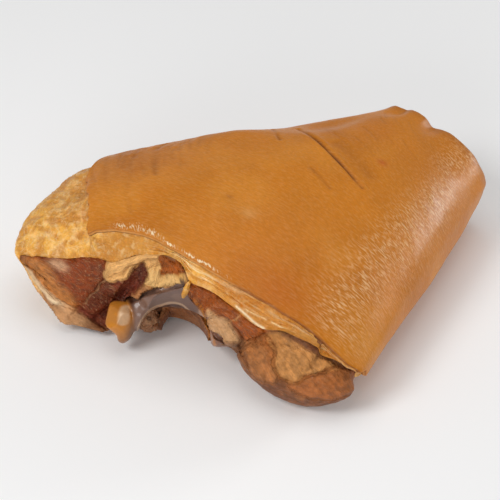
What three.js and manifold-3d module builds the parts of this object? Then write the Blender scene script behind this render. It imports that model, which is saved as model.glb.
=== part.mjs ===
// A smoked ham hock: the shank of a pig's foreleg, opened at the elbow joint and cut off above the ankle.
// It lies on its flat side. Millimetres: +Y runs from the joint end to the ankle end, +X across the joint cut,
// +Z up, and the numbers below count from the middle of the joint cut.
// Three solids: the rind with its fat, which wraps the limb; the meat inside it; and the bone, which runs from
// the hollow joint surface at the front to the sawn end at the back.
import * as THREE from "three";
import { LoftGeometry } from "three/addons/geometries/LoftGeometry.js";
import { mergeVertices } from "three/addons/utils/BufferGeometryUtils.js";
import Module from "manifold-3d";

const wasm = await Module();
wasm.setup();

// ---- Driving dimensions ----
const LENGTH = 158; // joint cut to ankle cut, along Y
const RIND = 2.2;
const GAP = 0.3; // between neighbouring solids
// Six sections stand at equal steps from the joint cut to the ankle cut. Each row has one value for each.
const MIDDLE = [-1.5, 5, 14, 24, 34, 44.5]; // where a section's middle lies, along X
const TURN = [0, 0.05, 0.1, 0.14, 0.17, 0.2]; // how far it is turned, in radians
const LEFT = [88.5, 96.5, 82, 59, 42, 29]; // reach to the left of the middle
const RIGHT = [83, 77, 66, 56, 44, 28]; // reach to the right
const CROWN_AT = [-22, -20, -14, -9, -7, -8]; // where the crown stands, from the middle
const CROWN = [62, 66, 66.5, 63.5, 57.5, 51]; // height of the crown above the table
const LEFT_Z = [28, 31, 29, 28, 27, 25]; // height of the widest line on the left
const RIGHT_Z = [20, 22, 24, 25, 25, 24]; // the same on the right
const LEFT_FULL = [2.9, 2.9, 2.6, 2.4, 2.4, 2.5]; // fullness of the upper left quarter: 2 is an ellipse
const RIGHT_FULL = [2.3, 2.3, 2.3, 2.2, 2.2, 2];
const LEFT_FALL = [0.55, 0.06, 0, 0, 0, 0]; // share by which the top falls away to the left
const RIGHT_FALL = [0.52, 0.45, 0.33, 0.22, 0.2, 0.36]; // the same to the right
const UNDER_FULL = 2.6; // fullness of the lower half
const BELLY_FLAT = 2; // the lower half is this much too deep, so that the table cuts it flat
const COLUMNS = 60; // points round the limb

// ---- Helpers ----
const mix = (a, b, k) => a + (b - a) * k;
const clamp = (v, low = 0, high = 1) => Math.min(high, Math.max(low, v));
const smooth = (a, b, v) => {
  const k = clamp((v - a) / (b - a));
  return k * k * (3 - 2 * k);
};
const bump = (x, z, x0, z0, rx, rz) => Math.exp(-(((x - x0) / rx) ** 2) - ((z - z0) / rz) ** 2);

// A smooth run through a row of values, read at t from 0 to 1.
const splines = new Map();
function along(row, t) {
  if (!splines.has(row)) {
    splines.set(row, new THREE.SplineCurve(row.map((value, i) => new THREE.Vector2(i, value))));
  }
  return splines.get(row).getPoint(clamp(t)).y;
}

// Value of a closed profile given at a few angles in degrees, eased from one to the next.
function around(profile, theta) {
  const degrees = (THREE.MathUtils.radToDeg(theta) + 360) % 360;
  for (let i = 0; i < profile.length; i++) {
    const [from, a] = profile[i];
    const [to, b] = i + 1 < profile.length ? profile[i + 1] : [profile[0][0] + 360, profile[0][1]];
    if (degrees >= from && degrees <= to) return mix(a, b, smooth(from, to, degrees));
  }
  return profile[0][1];
}

// ---- Form of the limb ----
// Angles run round the limb: 0 is the right side, 90 the crown, 180 the left side and 270 the table.
// A profile gives [angle in degrees, value] pairs. The edges are distances from the joint cut, along Y.
const RIND_EDGE = [[0, 14], [20, 7], [60, 2], [84, 3], [108, 5], [136, 38], [230, 46], [300, 42], [340, 20]];
const FAT_EDGE = [
  [0, 9], [45, 0], [90, 1], [135, -2], [180, -4],
  [240, -4], [258, 14], [275, 36], [310, 36], [340, 15],
];
const FAT_DEPTH = [
  [0, 4.5], [28, 7], [52, 13], [70, 15], [83, 10], [100, 15],
  [134, 14], [158, 8], [182, 5], [225, 4], [250, 3],
];
const FACE_EDGE = [[0, 5], [235, 5], [244, -2], [257, -2], [267, 5]]; // where the meat's face ends, ahead of the fat
const ARCH = [[0, 0], [257, 0], [267, 11], [296, 11], [312, 0]]; // rise of the bare underside at the face
const LOBE = [[0, 0], [106, 0], [128, 1], [220, 1], [250, 0]]; // 1 where bare fat bulges past the rind
const NOSE = 12; // length of that bulge
const ANKLE_THINNING = 0.45; // the fat's depth at the ankle, as a share of that at the joint

const fatDepth = (theta, y) => around(FAT_DEPTH, theta) * mix(1, ANKLE_THINNING, clamp(y / LENGTH));

// A point of the limb at angle theta and distance y from the joint cut, sunk by depth under the rind.
function limbPoint(theta, y, depth = 0) {
  const t = y / LENGTH;
  const c = Math.cos(theta);
  const s = Math.sin(theta);
  const onRight = c > 0;
  const widestZ = mix(along(LEFT_Z, t), along(RIGHT_Z, t), (1 + c) / 2);
  const upper = along(onRight ? RIGHT_FULL : LEFT_FULL, t);
  const full = s > 0 ? mix(UNDER_FULL, upper, smooth(0, 0.3, s)) : UNDER_FULL;
  const crownAt = along(CROWN_AT, t);
  const reach = onRight ? along(RIGHT, t) - crownAt : along(LEFT, t) + crownAt;
  const across = crownAt + Math.sign(c) * (reach - depth) * Math.abs(c) ** (2 / full);
  const fall = 1 - along(onRight ? RIGHT_FALL : LEFT_FALL, t) * Math.abs(c) ** (2.8 / full);
  const rise = s > 0 ? (along(CROWN, t) - widestZ - depth) * fall : -(widestZ + BELLY_FLAT - depth);
  const z = Math.max(widestZ + rise * Math.abs(s) ** (2 / full), Math.max(depth, 0));
  const turn = along(TURN, t);
  return new THREE.Vector3(along(MIDDLE, t) + across * Math.cos(turn), y - across * Math.sin(turn), z);
}

const angles = Array.from({ length: COLUMNS }, (_, i) => (2 * Math.PI * i) / COLUMNS);

// The fat lies on the meat from here to the ankle, in equal steps that both solids share.
const INNER_STEPS = 10;
function innerY(theta, step) {
  return mix(around(FAT_EDGE, theta) + 1, LENGTH, step / INNER_STEPS);
}

// ---- Rind and fat ----
// One closed strip: from the fat's inner edge, over its nose to the rind's edge, along the rind to the ankle
// and back inside.
const NOSE_STEPS = 5;
const OUTER_STEPS = 13;
function rindProfile(theta) {
  const rindY = around(RIND_EDGE, theta);
  const fatY = around(FAT_EDGE, theta);
  const lobe = around(LOBE, theta);
  const edgeDepth = fatDepth(theta, fatY);
  const points = [];
  for (let i = 0; i < NOSE_STEPS; i++) {
    const q = i / NOSE_STEPS;
    const quarter = (q * Math.PI) / 2;
    const y = mix(mix(fatY, rindY, q), fatY + NOSE * (1 - Math.cos(quarter)), lobe);
    const depth = mix(mix(edgeDepth, RIND, q ** 0.8), mix(edgeDepth, RIND, Math.sin(quarter)), lobe);
    points.push(limbPoint(theta, y, depth));
  }
  const noseEnd = mix(rindY - 0.6, fatY + NOSE, lobe);
  for (const q of [0, 0.5, 1]) points.push(limbPoint(theta, mix(noseEnd, rindY - 0.1, q), RIND));
  for (let i = 0; i <= OUTER_STEPS; i++) {
    points.push(limbPoint(theta, mix(rindY, LENGTH, (i / OUTER_STEPS) ** 0.9)));
  }
  points.push(limbPoint(theta, LENGTH + 0.5, 0.5 * fatDepth(theta, LENGTH)));
  for (let step = INNER_STEPS; step > 0; step--) {
    const y = innerY(theta, step);
    points.push(limbPoint(theta, y, fatDepth(theta, y)));
  }
  return points;
}
const strips = angles.map(rindProfile);
const rindGeometry = new LoftGeometry([...strips, strips[0]]);

// ---- Solids ----
function toSolid(geometry) {
  const bare = new THREE.BufferGeometry().setIndex(geometry.index);
  bare.setAttribute("position", geometry.attributes.position);
  const merged = mergeVertices(bare, 1e-3);
  const vertProperties = merged.attributes.position.array;
  const triVerts = new Uint32Array(merged.index.array);
  return new wasm.Manifold(new wasm.Mesh({ numProp: 3, vertProperties, triVerts }));
}
function toGeometry(solid) {
  const mesh = solid.getMesh();
  const geometry = new THREE.BufferGeometry();
  geometry.setAttribute("position", new THREE.BufferAttribute(mesh.vertProperties, 3));
  geometry.setIndex(new THREE.BufferAttribute(mesh.triVerts, 1));
  return geometry;
}
const SLACK = 0.03; // points that move the surface less than this are dropped
// The main body of a cut solid, without the crumbs that a cut leaves.
const largest = (solid) => solid.decompose().sort((a, b) => b.volume() - a.volume())[0];
const mainBody = (solid) => largest(toSolid(toGeometry(largest(solid).simplify(SLACK))));

// An ellipsoid at a place, with its own turn about Z.
function ellipsoid([x, y, z], [rx, ry, rz], turnZ = 0, margin = 0) {
  const ball = new THREE.SphereGeometry(1, 20, 12);
  ball.scale(rx + margin, ry + margin, rz + margin);
  ball.rotateZ(turnZ);
  ball.translate(x, y, z);
  return toSolid(ball);
}

// ---- The joint: a hollow that held the upper arm bone ----
const HOLLOW_R = 16;
const HOLLOW_AT = new THREE.Vector3(-4.4, -2.5, 20); // a point on its axis
const HOLLOW_AXIS = new THREE.Vector3(-0.325, 0.314, -0.892).normalize();
const HOLLOW_MOUTH = new THREE.Vector3(0.47, -0.75, -0.465).normalize(); // the way it opens
const HOLLOW_REACH = 90; // the cut runs this far out of the mouth

// The hollow and everything in front of its mouth: a slot with a round end, drawn in a plane across its axis.
function hollowCutter(above = 34, below = 30) {
  const shape = new THREE.Shape();
  shape.moveTo(-HOLLOW_R, -HOLLOW_REACH);
  shape.lineTo(-HOLLOW_R, 0);
  shape.absarc(0, 0, HOLLOW_R, Math.PI, 0, true);
  shape.lineTo(HOLLOW_R, -HOLLOW_REACH);
  shape.closePath();
  const slab = new THREE.ExtrudeGeometry(shape, { depth: above + below, bevelEnabled: false, curveSegments: 14 });
  slab.translate(0, 0, -above);
  const slabZ = HOLLOW_AXIS.clone().negate();
  const slabY = HOLLOW_MOUTH.clone().negate().addScaledVector(slabZ, HOLLOW_MOUTH.dot(slabZ)).normalize();
  const slabX = new THREE.Vector3().crossVectors(slabY, slabZ);
  slab.applyMatrix4(new THREE.Matrix4().makeBasis(slabX, slabY, slabZ).setPosition(HOLLOW_AT));
  return toSolid(slab);
}
const hollow = hollowCutter();

// ---- Bone ----
// The shaft follows the limb. Each pair holds the value at the joint and at the ankle.
const SHAFT = { start: 6, halfWidth: [15, 12], halfHeight: [10, 9], z: [30, 23], rings: 12, sides: 20 };
const JOINT_LUMPS = [
  { at: [-8, 14, 28], radii: [23, 17, 12], turnZ: 0.1 }, // block that the hollow is cut into
  { at: [-31.5, -4, 13], radii: [6.4, 7.5, 11], turnZ: 0.3 }, // knob on the left of the hollow
  { at: [-26, 6, 17], radii: [8.5, 10, 10], turnZ: 0.3 }, // its root
  { at: [13, 9, 17], radii: [8, 8, 9], turnZ: 0 }, // shoulder on the right
];

function shaftSection(t, margin) {
  const y = t * LENGTH;
  const middle = limbPoint(0, y).add(limbPoint(Math.PI, y)).multiplyScalar(0.5).setZ(mix(...SHAFT.z, t));
  const turn = along(TURN, t);
  return Array.from({ length: SHAFT.sides }, (_, k) => {
    const angle = (-2 * Math.PI * k) / SHAFT.sides;
    const across = (mix(...SHAFT.halfWidth, t) + margin) * Math.cos(angle);
    const waist = 1 - 0.25 * Math.cos(2 * angle);
    const up = (mix(...SHAFT.halfHeight, t) + margin) * Math.sin(angle) * waist;
    return middle.clone().add(new THREE.Vector3(across * Math.cos(turn), -across * Math.sin(turn), up));
  });
}
function boneSolid(margin) {
  const sections = [];
  for (let i = 0; i <= SHAFT.rings; i++) {
    sections.push(shaftSection(mix(SHAFT.start / LENGTH, 1.004, i / SHAFT.rings), margin));
  }
  let solid = toSolid(new LoftGeometry(sections, { capStart: true, capEnd: true }));
  for (const { at, radii, turnZ } of JOINT_LUMPS) solid = solid.add(ellipsoid(at, radii, turnZ, margin));
  return solid;
}
const bone = mainBody(boneSolid(0).subtract(hollow));

// ---- Meat ----
const FACE_MIDDLE = new THREE.Vector3(-4, 0, 26);
const FACE_SHARES = [0.05, 0.2, 0.35, 0.5, 0.62, 0.74, 0.84, 0.92]; // rings from its middle to its edge
// Swells (under 0) and dips (over 0) of the face: depth, where in X and Z, and how wide each way.
const FACE_RELIEF = [
  [-2, -60, 28, 20, 14], // big muscle on the left
  [8, -10, 44, 15, 12], // torn tendons over the hollow
  [7, -38, 16, 9, 16], // cleft beside the knob
  [4, 14, 30, 12, 14], // strap muscle on the right
  [3, 32, 22, 6, 12], // cleft beside the round muscle
];
const ROUND_MUSCLE = { at: [52, 2.5, 15.8], radii: [26.5, 10.5, 15.5], turnZ: 0.1 };
const LUMP_UNDER_HOLLOW = { at: [-23.5, 10.5, 8], radii: [7.5, 8, 7.5], turnZ: 0 };
const EDGE_ROUNDING = 1.2; // how far the face's bare edge is rounded off
const BARE_SKIN = 0.6; // how far bare meat lies inside the limb's outline

function facePoint(theta, share) {
  const edge = faceEdge(theta);
  const x = mix(FACE_MIDDLE.x, edge.x, share);
  const z = mix(FACE_MIDDLE.z, edge.z, share);
  let y = 0;
  for (const [depth, x0, z0, rx, rz] of FACE_RELIEF) y += depth * bump(x, z, x0, z0, rx, rz);
  return new THREE.Vector3(x, mix(y, edge.y, smooth(0.75, 1, share)), z);
}
// A point between the face's edge, at share 0, and the fat's edge, at share 1. It comes out to bareDepth
// where no fat covers the meat.
function barePoint(theta, share, bareDepth, lift = 0) {
  const fatY = around(FAT_EDGE, theta);
  const y = mix(Math.min(fatY + 0.2, around(FACE_EDGE, theta)), fatY + 1, share);
  const covered = fatDepth(theta, y) + GAP;
  const depth = mix(covered, Math.min(bareDepth, covered), smooth(12, 20, fatY));
  return limbPoint(theta, y, depth + lift * around(ARCH, theta));
}
function faceEdge(theta) {
  return barePoint(theta, 0, EDGE_ROUNDING, 1);
}
function meatUnderFat(theta, step) {
  const y = innerY(theta, step);
  return limbPoint(theta, y, fatDepth(theta, y) + GAP);
}
function meatSections() {
  const rings = FACE_SHARES.map((share) => (theta) => facePoint(theta, share));
  rings.push(faceEdge);
  rings.push((theta) => barePoint(theta, 0.3, BARE_SKIN, 0.5));
  rings.push((theta) => barePoint(theta, 0.75, BARE_SKIN));
  rings.push((theta) => barePoint(theta, 0.88, Infinity));
  for (let step = 0; step <= INNER_STEPS; step++) rings.push((theta) => meatUnderFat(theta, step));
  return rings.map((ring) => angles.map(ring).reverse());
}
function meatSolid() {
  const placed = ({ at, radii, turnZ }) => ellipsoid(at, radii, turnZ);
  let solid = toSolid(new LoftGeometry(meatSections(), { capStart: true, capEnd: true }));
  solid = solid.add(placed(ROUND_MUSCLE)).subtract(hollow).add(placed(LUMP_UNDER_HOLLOW));
  return mainBody(solid.subtract(boneSolid(GAP)));
}

// ---- The part ----
const hock = new THREE.Group();
hock.name = "ham_hock";
function addPart(name, geometry, color, roughness) {
  const mesh = new THREE.Mesh(geometry, new THREE.MeshStandardMaterial({ color, roughness, metalness: 0 }));
  mesh.name = name;
  hock.add(mesh);
}
addPart("rind_and_fat", rindGeometry, 0xc87f32, 0.45);
addPart("meat", toGeometry(meatSolid()), 0x8a4526, 0.5);
addPart("bone", toGeometry(bone), 0x9c8065, 0.35);

// The origin lies on the table, below the middle of the whole.
const box = new THREE.Box3().setFromObject(hock);
const middle = box.getCenter(new THREE.Vector3()).setZ(box.min.z);
for (const mesh of hock.children) mesh.geometry.translate(-middle.x, -middle.y, -middle.z);

export default hock;
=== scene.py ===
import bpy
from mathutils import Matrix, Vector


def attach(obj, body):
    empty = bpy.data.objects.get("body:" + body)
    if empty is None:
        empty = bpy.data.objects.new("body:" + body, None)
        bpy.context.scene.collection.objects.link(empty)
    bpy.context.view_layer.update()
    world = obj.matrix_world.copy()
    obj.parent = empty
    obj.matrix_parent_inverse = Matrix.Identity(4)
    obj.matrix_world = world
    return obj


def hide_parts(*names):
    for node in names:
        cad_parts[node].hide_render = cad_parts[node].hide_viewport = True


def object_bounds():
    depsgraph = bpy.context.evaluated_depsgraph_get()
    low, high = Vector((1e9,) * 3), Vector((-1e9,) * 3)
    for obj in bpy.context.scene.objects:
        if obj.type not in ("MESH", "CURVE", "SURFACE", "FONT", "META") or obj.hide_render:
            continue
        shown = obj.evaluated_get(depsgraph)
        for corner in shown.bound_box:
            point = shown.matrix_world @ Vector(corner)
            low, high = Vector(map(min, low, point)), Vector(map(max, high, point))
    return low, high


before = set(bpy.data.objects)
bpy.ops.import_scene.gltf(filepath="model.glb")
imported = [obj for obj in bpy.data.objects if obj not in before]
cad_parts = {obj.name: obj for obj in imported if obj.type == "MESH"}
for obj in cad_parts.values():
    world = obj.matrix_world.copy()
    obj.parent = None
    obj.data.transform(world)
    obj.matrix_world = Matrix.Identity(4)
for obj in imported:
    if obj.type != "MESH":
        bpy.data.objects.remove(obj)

# A smoked ham hock, opened at the elbow joint and cut off above the ankle. It lies on its flat side.
# Lengths are in millimetres, counted from the middle of the joint cut: X runs across the cut, Y runs from
# the joint to the ankle, Z up. to_frame() turns them into the part's own metres.
import math

import bpy
import numpy as np
from mathutils import Vector
from mathutils.kdtree import KDTree

cad_low, cad_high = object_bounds()
BOX = (np.array(cad_low) * 1000, np.array(cad_high) * 1000)
ORIGIN = np.array([4.28, -76.31, 0.0])  # the middle of the joint cut, in the part's millimetres


def to_frame(points):
    return (np.asarray(points) + ORIGIN) / 1000


def to_limb(points):
    return np.asarray(points) * 1000 - ORIGIN


# ---- Form of the limb ----
# Six sections stand at equal steps from the joint cut to the ankle cut.
LENGTH = 158.0
RIND = 2.2
MIDDLE = [-1.5, 5, 14, 24, 34, 44.5]
TURN = [0, 0.05, 0.1, 0.14, 0.17, 0.2]
LEFT = [88.5, 96.5, 82, 59, 42, 29]
RIGHT = [83, 77, 66, 56, 44, 28]
CROWN_AT = [-22, -20, -14, -9, -7, -8]
CROWN = [62, 66, 66.5, 63.5, 57.5, 51]
LEFT_Z = [28, 31, 29, 28, 27, 25]
RIGHT_Z = [20, 22, 24, 25, 25, 24]
LEFT_FULL = [2.9, 2.9, 2.6, 2.4, 2.4, 2.5]
RIGHT_FULL = [2.3, 2.3, 2.3, 2.2, 2.2, 2]
LEFT_FALL = [0.55, 0.06, 0, 0, 0, 0]
RIGHT_FALL = [0.52, 0.45, 0.33, 0.22, 0.2, 0.36]
UNDER_FULL = 2.6
BELLY_FLAT = 2.0
# Round the limb: 0 degrees is the right side, 90 the crown, 180 the left side and 270 the table.
RIND_EDGE = [
    (0, 13), (6, 7.5), (20, 4.5), (37, 5), (46, 5), (56, 4), (65, 3), (72, 2.7), (79, 3), (84, 3.8), (89, 4.6),
    (96, 4.5), (102, 2.8), (104.5, 0.3), (106.5, 3), (110, 9.5), (113.5, 15.5), (118, 21), (127.5, 28),
    (140, 46), (230, 48), (300, 42), (340, 20),
]
FAT_EDGE = [
    (0, 9), (45, 0), (90, 1), (135, -2), (180, -4),
    (240, -4), (258, 14), (275, 36), (310, 36), (340, 15),
]
SOLID_FAT_DEPTH = [
    (0, 4.5), (28, 7), (52, 13), (70, 15), (83, 10), (100, 15),
    (134, 14), (158, 8), (182, 5), (225, 4), (250, 3),
]
FAT_DEPTH = [
    (0, 4.5), (28, 7), (52, 13), (70, 15), (83, 10), (100, 15),
    (134, 14), (152, 9), (166, 7.5), (185, 8), (208, 8.5), (226, 6), (250, 3),
]
# The fat's lower edge on the plane of the cut, across and up, as the eye sees it.
FAT_LIP = [
    (-86, 27), (-81.4, 30.1), (-75.9, 33), (-63.7, 36.3), (-56.1, 39.6), (-47.7, 43.2), (-40.5, 44.2), (-37.4, 43.8),
    (-29.1, 50), (-20.9, 55.2), (-13.4, 57.8), (-8.4, 59.4), (-2.2, 58.2), (-0.4, 54), (1, 49.5), (3, 47.6),
    (7.4, 48.9), (14.3, 47.3), (20.8, 43.9), (24.2, 42), (27.2, 40.2), (32.6, 37.4), (37.1, 35.8), (40.4, 37),
    (46.6, 39.1), (53.4, 38.3), (59.6, 38), (66.4, 36.4), (72.8, 32.6), (78.9, 31.6), (83, 30),
]
# Where the strip along the cut parts into two layers, and its pale lower lip.
STRIP_SPLIT = [
    (20, 49), (24.9, 46.3), (30.1, 43.2), (38.1, 42), (46.7, 40.8), (55.2, 39.8), (62.1, 38.5),
    (68.3, 36),
]
STRIP_BELOW = STRIP_SPLIT + [(68, 30), (40, 30), (20, 40)]
LOW_FAT_LIP = [(24.9, 43.6), (29, 41.1), (33.6, 38.1), (37.7, 36.8)]
# Colours of the left rim, on fat and meat alike: shape, softness in mm, display colour, share.
LEFT_RIM_COLOUR = [
    ([(-92, 26), (-84, 27), (-79, 18), (-79, 13), (-90, 12)], 1.5, 0xD79440, 0.5),
    ([
        (-82.5, 24), (-79.5, 24.5), (-75.5, 19), (-68, 14), (-58, 10), (-61, 4.5), (-68, 7), (-75, 12.5),
        (-79.5, 17.5),
    ], 1.2, 0xF2D6AC, 0.9),
    ([(-80, 12), (-75.5, 12), (-69, 5.5), (-62, 3), (-62, -4), (-75, -2), (-82, 8)], 1.2, 0xBE8450, 0.8),
    ([(-62, 8), (-52, 8), (-50, -5), (-64, -5)], 1.5, 0xB98A62, 0.8),
    ([(-81.5, 15.5), (-78.8, 13.5), (-77.5, 9.5), (-79, 9), (-80.8, 12.5)], 0.5, 0x8A5428, 0.7),
]
# Swells (over 0) and dips of the skin: (degrees, y), reach round and along in mm, height in mm.
SWELLS = [
    ((157, 6), (22, 12), 2.2),
    ((160, 10), (13, 8), 1.8),
    ((147, 16), (9, 8), 1),
    ((132, 26), (7, 8), -2),
    ((183, 1), (7, 8), -1.4),
    ((170, 0), (12, 10), 1.3),
    ((138, 24), (12, 10), -2),
    ((121, 84), (11, 13), 2.5),
    ((128, 50), (10, 13), 0.6),
    ((113, 117), (13, 18), -2.9),
    ((102, 152), (11, 8), -2.3),
    ((72, 156), (9, 9), -3.5),
    ((42, 157), (22, 16), 6.1),
    ((16, 156), (20, 16), 2.9),
    ((5, 140), (22, 26), 1.8),
    ((-12, 80), (16, 40), 1.3),
    ((-18, 30), (16, 22), -1.6),
    ((196, 0), (15, 13), -4.8),
]
# Where the bare fat is a rounded cap, and how far back it rounds off.
LOBE = [(0, 0), (106, 0), (128, 1), (220, 1), (250, 0)]
NOSE = [(0, 12), (160, 12), (186, 5), (225, 5), (250, 12)]
ANKLE_THINNING = 0.45  # what is left of the fat's depth at the ankle
OUTSIDE = 0.5  # points less deep than this are on the outside of the rind
MEAT_OVERLAP = 0.6  # how far the meat reaches into the fat
MEAT_VOXEL, BONE_VOXEL = 0.00058, 0.0006  # in metres
LAY_SPAN = 200  # the fibres' way is stored as a share of this length, round a half


def mix(a, b, k):
    return a + (b - a) * k


def smooth(a, b, v):
    k = np.clip((v - a) / (b - a), 0, 1)
    return k * k * (3 - 2 * k)


def bell(*away):
    """1 in the middle, falling off with each of the distances."""
    return np.exp(-sum(a**2 for a in away))


def along(row, t):
    """A smooth run through a row of values, read at t from 0 to 1."""
    row = np.asarray(row, float)
    t = np.clip(t, 0, 1) * (len(row) - 1)
    i = np.minimum(t.astype(int), len(row) - 2)
    f = t - i
    before, a, b, after = (row[np.clip(i + k, 0, len(row) - 1)] for k in (-1, 0, 1, 2))
    v0, v1 = (b - before) / 2, (after - a) / 2
    return (2 * a - 2 * b + v0 + v1) * f**3 + (3 * b - 3 * a - 2 * v0 - v1) * f**2 + v0 * f + a


def around(profile, theta):
    """A closed profile of (degree, value) pairs, eased from one to the next."""
    degrees = np.degrees(theta) % 360
    value = np.zeros_like(degrees)
    ends = profile[1:] + [(profile[0][0] + 360, profile[0][1])]
    for (start, a), (stop, b) in zip(profile, ends):
        here = (degrees >= start) & (degrees <= stop)
        value = np.where(here, mix(a, b, smooth(start, stop, degrees)), value)
    return value


def limb_point(theta, y, depth=0.0):
    """A point at angle theta and distance y from the joint cut, sunk by depth under the rind."""
    theta, y, depth = np.broadcast_arrays(theta, y, depth)
    t = y / LENGTH
    c, s = np.cos(theta), np.sin(theta)
    right = c > 0
    widest = mix(along(LEFT_Z, t), along(RIGHT_Z, t), (1 + c) / 2)
    upper = np.where(right, along(RIGHT_FULL, t), along(LEFT_FULL, t))
    full = np.where(s > 0, mix(UNDER_FULL, upper, smooth(0, 0.3, s)), UNDER_FULL)
    crown_at = along(CROWN_AT, t)
    reach = np.where(right, along(RIGHT, t) - crown_at, along(LEFT, t) + crown_at)
    across = crown_at + np.sign(c) * (reach - depth) * np.abs(c) ** (2 / full)
    fall = 1 - np.where(right, along(RIGHT_FALL, t), along(LEFT_FALL, t)) * np.abs(c) ** (2.8 / full)
    rise = np.where(s > 0, (along(CROWN, t) - widest - depth) * fall, -(widest + BELLY_FLAT - depth))
    # The form ends flat on the table. Its edge is softer at the lower left, where it shows.
    low = np.maximum(depth, 0)
    above = widest + rise * np.abs(s) ** (2 / full) - low
    soft = 2.2 * bell((np.degrees(theta) % 360 - 212) / 16) * smooth(45, 25, y)
    z = low + (above + np.sqrt(above**2 + soft**2)) / 2
    turn = along(TURN, t)
    return np.stack([along(MIDDLE, t) + across * np.cos(turn), y - across * np.sin(turn), z], -1)


# The distance round the limb, as a mean of three sections, gives a flat map of the skin.
FINE = np.radians(np.linspace(-90, 270, 2881))
sections = limb_point(FINE[None, :], np.array([[8.0], [60.0], [120.0]]))
steps = np.linalg.norm(np.diff(sections, axis=1), axis=2).mean(0)
GIRTH = np.concatenate([[0], np.cumsum(steps)])


def even_angles(count):
    """Columns round the limb, closer together over the top than on the underside."""
    middle = np.degrees((FINE[1:] + FINE[:-1]) / 2)
    under = smooth(196, 226, middle) + smooth(-16, -46, middle)
    weight = steps * (1 + 0.35 * bell((middle - 92) / 34) - 0.5 * under)
    run = np.concatenate([[0], np.cumsum(weight)])
    return np.interp(np.arange(count) / count * run[-1], run, FINE)


def girth_at(theta):
    """Distance round the limb, from the table."""
    return np.interp(np.radians((np.degrees(theta) + 90) % 360 - 90), FINE, GIRTH)


def swell(theta, y):
    """How far the skin stands over (or under) the plain form, in mm."""
    girth, total = girth_at(theta), 0.0
    for (degree, middle), (ru, rv), height in SWELLS:
        du = girth - float(girth_at(np.radians(degree)))
        du = du - GIRTH[-1] * np.round(du / GIRTH[-1])
        total = total + height * bell(du / ru, (y - middle) / rv)
    return total


def skin_point(theta, y, depth=0.0):
    return limb_point(theta, y, depth - swell(theta, y))


# ---- The eye ----
# Regions of the cut are drawn on the plane of the cut, across and up in mm, as they are seen from the eye.
EYE = np.array([371.6, -643.6, 669.1])


def on_cut(limb):
    """Where the line from the eye through each point meets the plane of the cut."""
    k = -EYE[1] / (limb[:, 1] - EYE[1])
    hit = EYE + (limb - EYE) * k[:, None]
    return hit[:, 0], hit[:, 2]


def lip_depths():
    """How deep the fat reaches at each degree round the limb. Where its lower lip shows, it follows that."""
    degrees = np.arange(0, 360)
    theta = np.radians(degrees)
    depths = np.linspace(1.5, 22, 165)
    deep, plain = np.broadcast_arrays(depths[None, :], around(FAT_DEPTH, theta)[:, None])
    spots = skin_point(theta[:, None], around(FAT_EDGE, theta)[:, None], deep)
    u, v = on_cut(spots.reshape(-1, 3))
    under = (v < np.interp(u, *np.transpose(FAT_LIP))).reshape(deep.shape)
    shown = np.where(under.any(1), depths[np.argmax(under, 1)], plain[:, 0])
    # Little steps are evened out.
    even = (np.roll(shown, 1) + 2 * shown + np.roll(shown, -1)) / 4
    share = smooth(28, 36, degrees) * smooth(166, 152, degrees)
    return mix(plain[:, 0], even, share)


LIP_DEPTHS = lip_depths()


def fat_depth(theta, y):
    degrees = np.degrees(theta) % 360
    deep = np.interp(degrees, np.arange(361), np.append(LIP_DEPTHS, LIP_DEPTHS[0]))
    old = around(FAT_DEPTH, theta)
    return mix(deep, old, smooth(6, 40, y)) * mix(1, ANKLE_THINNING, np.clip(y / LENGTH, 0, 1))


# ---- Seeded noise ----
def lattice(ix, iy, iz, seed):
    h = (ix * 374761393 + iy * 668265263 + iz * 2147483647 + seed * 1274126177) & 0xFFFFFFFF
    h = ((h ^ (h >> 13)) * 1274126177) & 0xFFFFFFFF
    h = ((h ^ (h >> 16)) * 2246822519) & 0xFFFFFFFF
    return ((h ^ (h >> 15)) & 0xFFFFFF) / 0xFFFFFF * 2 - 1


def grain(points, size, seed=0, octaves=1):
    """Soft noise from -1 to 1 whose lumps are about size mm wide. size may be one number or three."""
    total, weight = 0.0, 0.0
    for octave in range(octaves):
        p = np.asarray(points, float) / np.asarray(size, float) * 2**octave + 37.3 * octave
        cell = np.floor(p).astype(np.int64)
        f = p - cell
        f = f * f * (3 - 2 * f)
        value = 0.0
        for corner in range(8):
            d = np.array([corner & 1, corner >> 1 & 1, corner >> 2 & 1])
            share = np.prod(np.where(d, f, 1 - f), axis=-1)
            value = value + share * lattice(*np.moveaxis(cell + d, -1, 0), seed + octave)
        total = total + value * 0.5**octave
        weight += 0.5**octave
    return total / weight * 1.6


# ---- Strokes and patches drawn on a surface ----
def rounded(points, closed, steps=5):
    """The points with a smooth curve run through them."""
    p = np.array(points, float)
    if len(p) < 3:
        return p
    rows = []
    count = len(p) if closed else len(p) - 1
    for i in range(count):
        four = [(i + k) % len(p) if closed else min(max(i + k, 0), len(p) - 1) for k in (-1, 0, 1, 2)]
        a, b, c, d = p[four]
        for f in np.arange(steps) / steps:
            bend, twist = a - 2.5 * b + 2 * c - d / 2, 1.5 * (b - c) + (d - a) / 2
            rows.append(b + f * (c - a) / 2 + f**2 * bend + f**3 * twist)
    if not closed:
        rows.append(p[-1])
    return np.array(rows)


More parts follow.
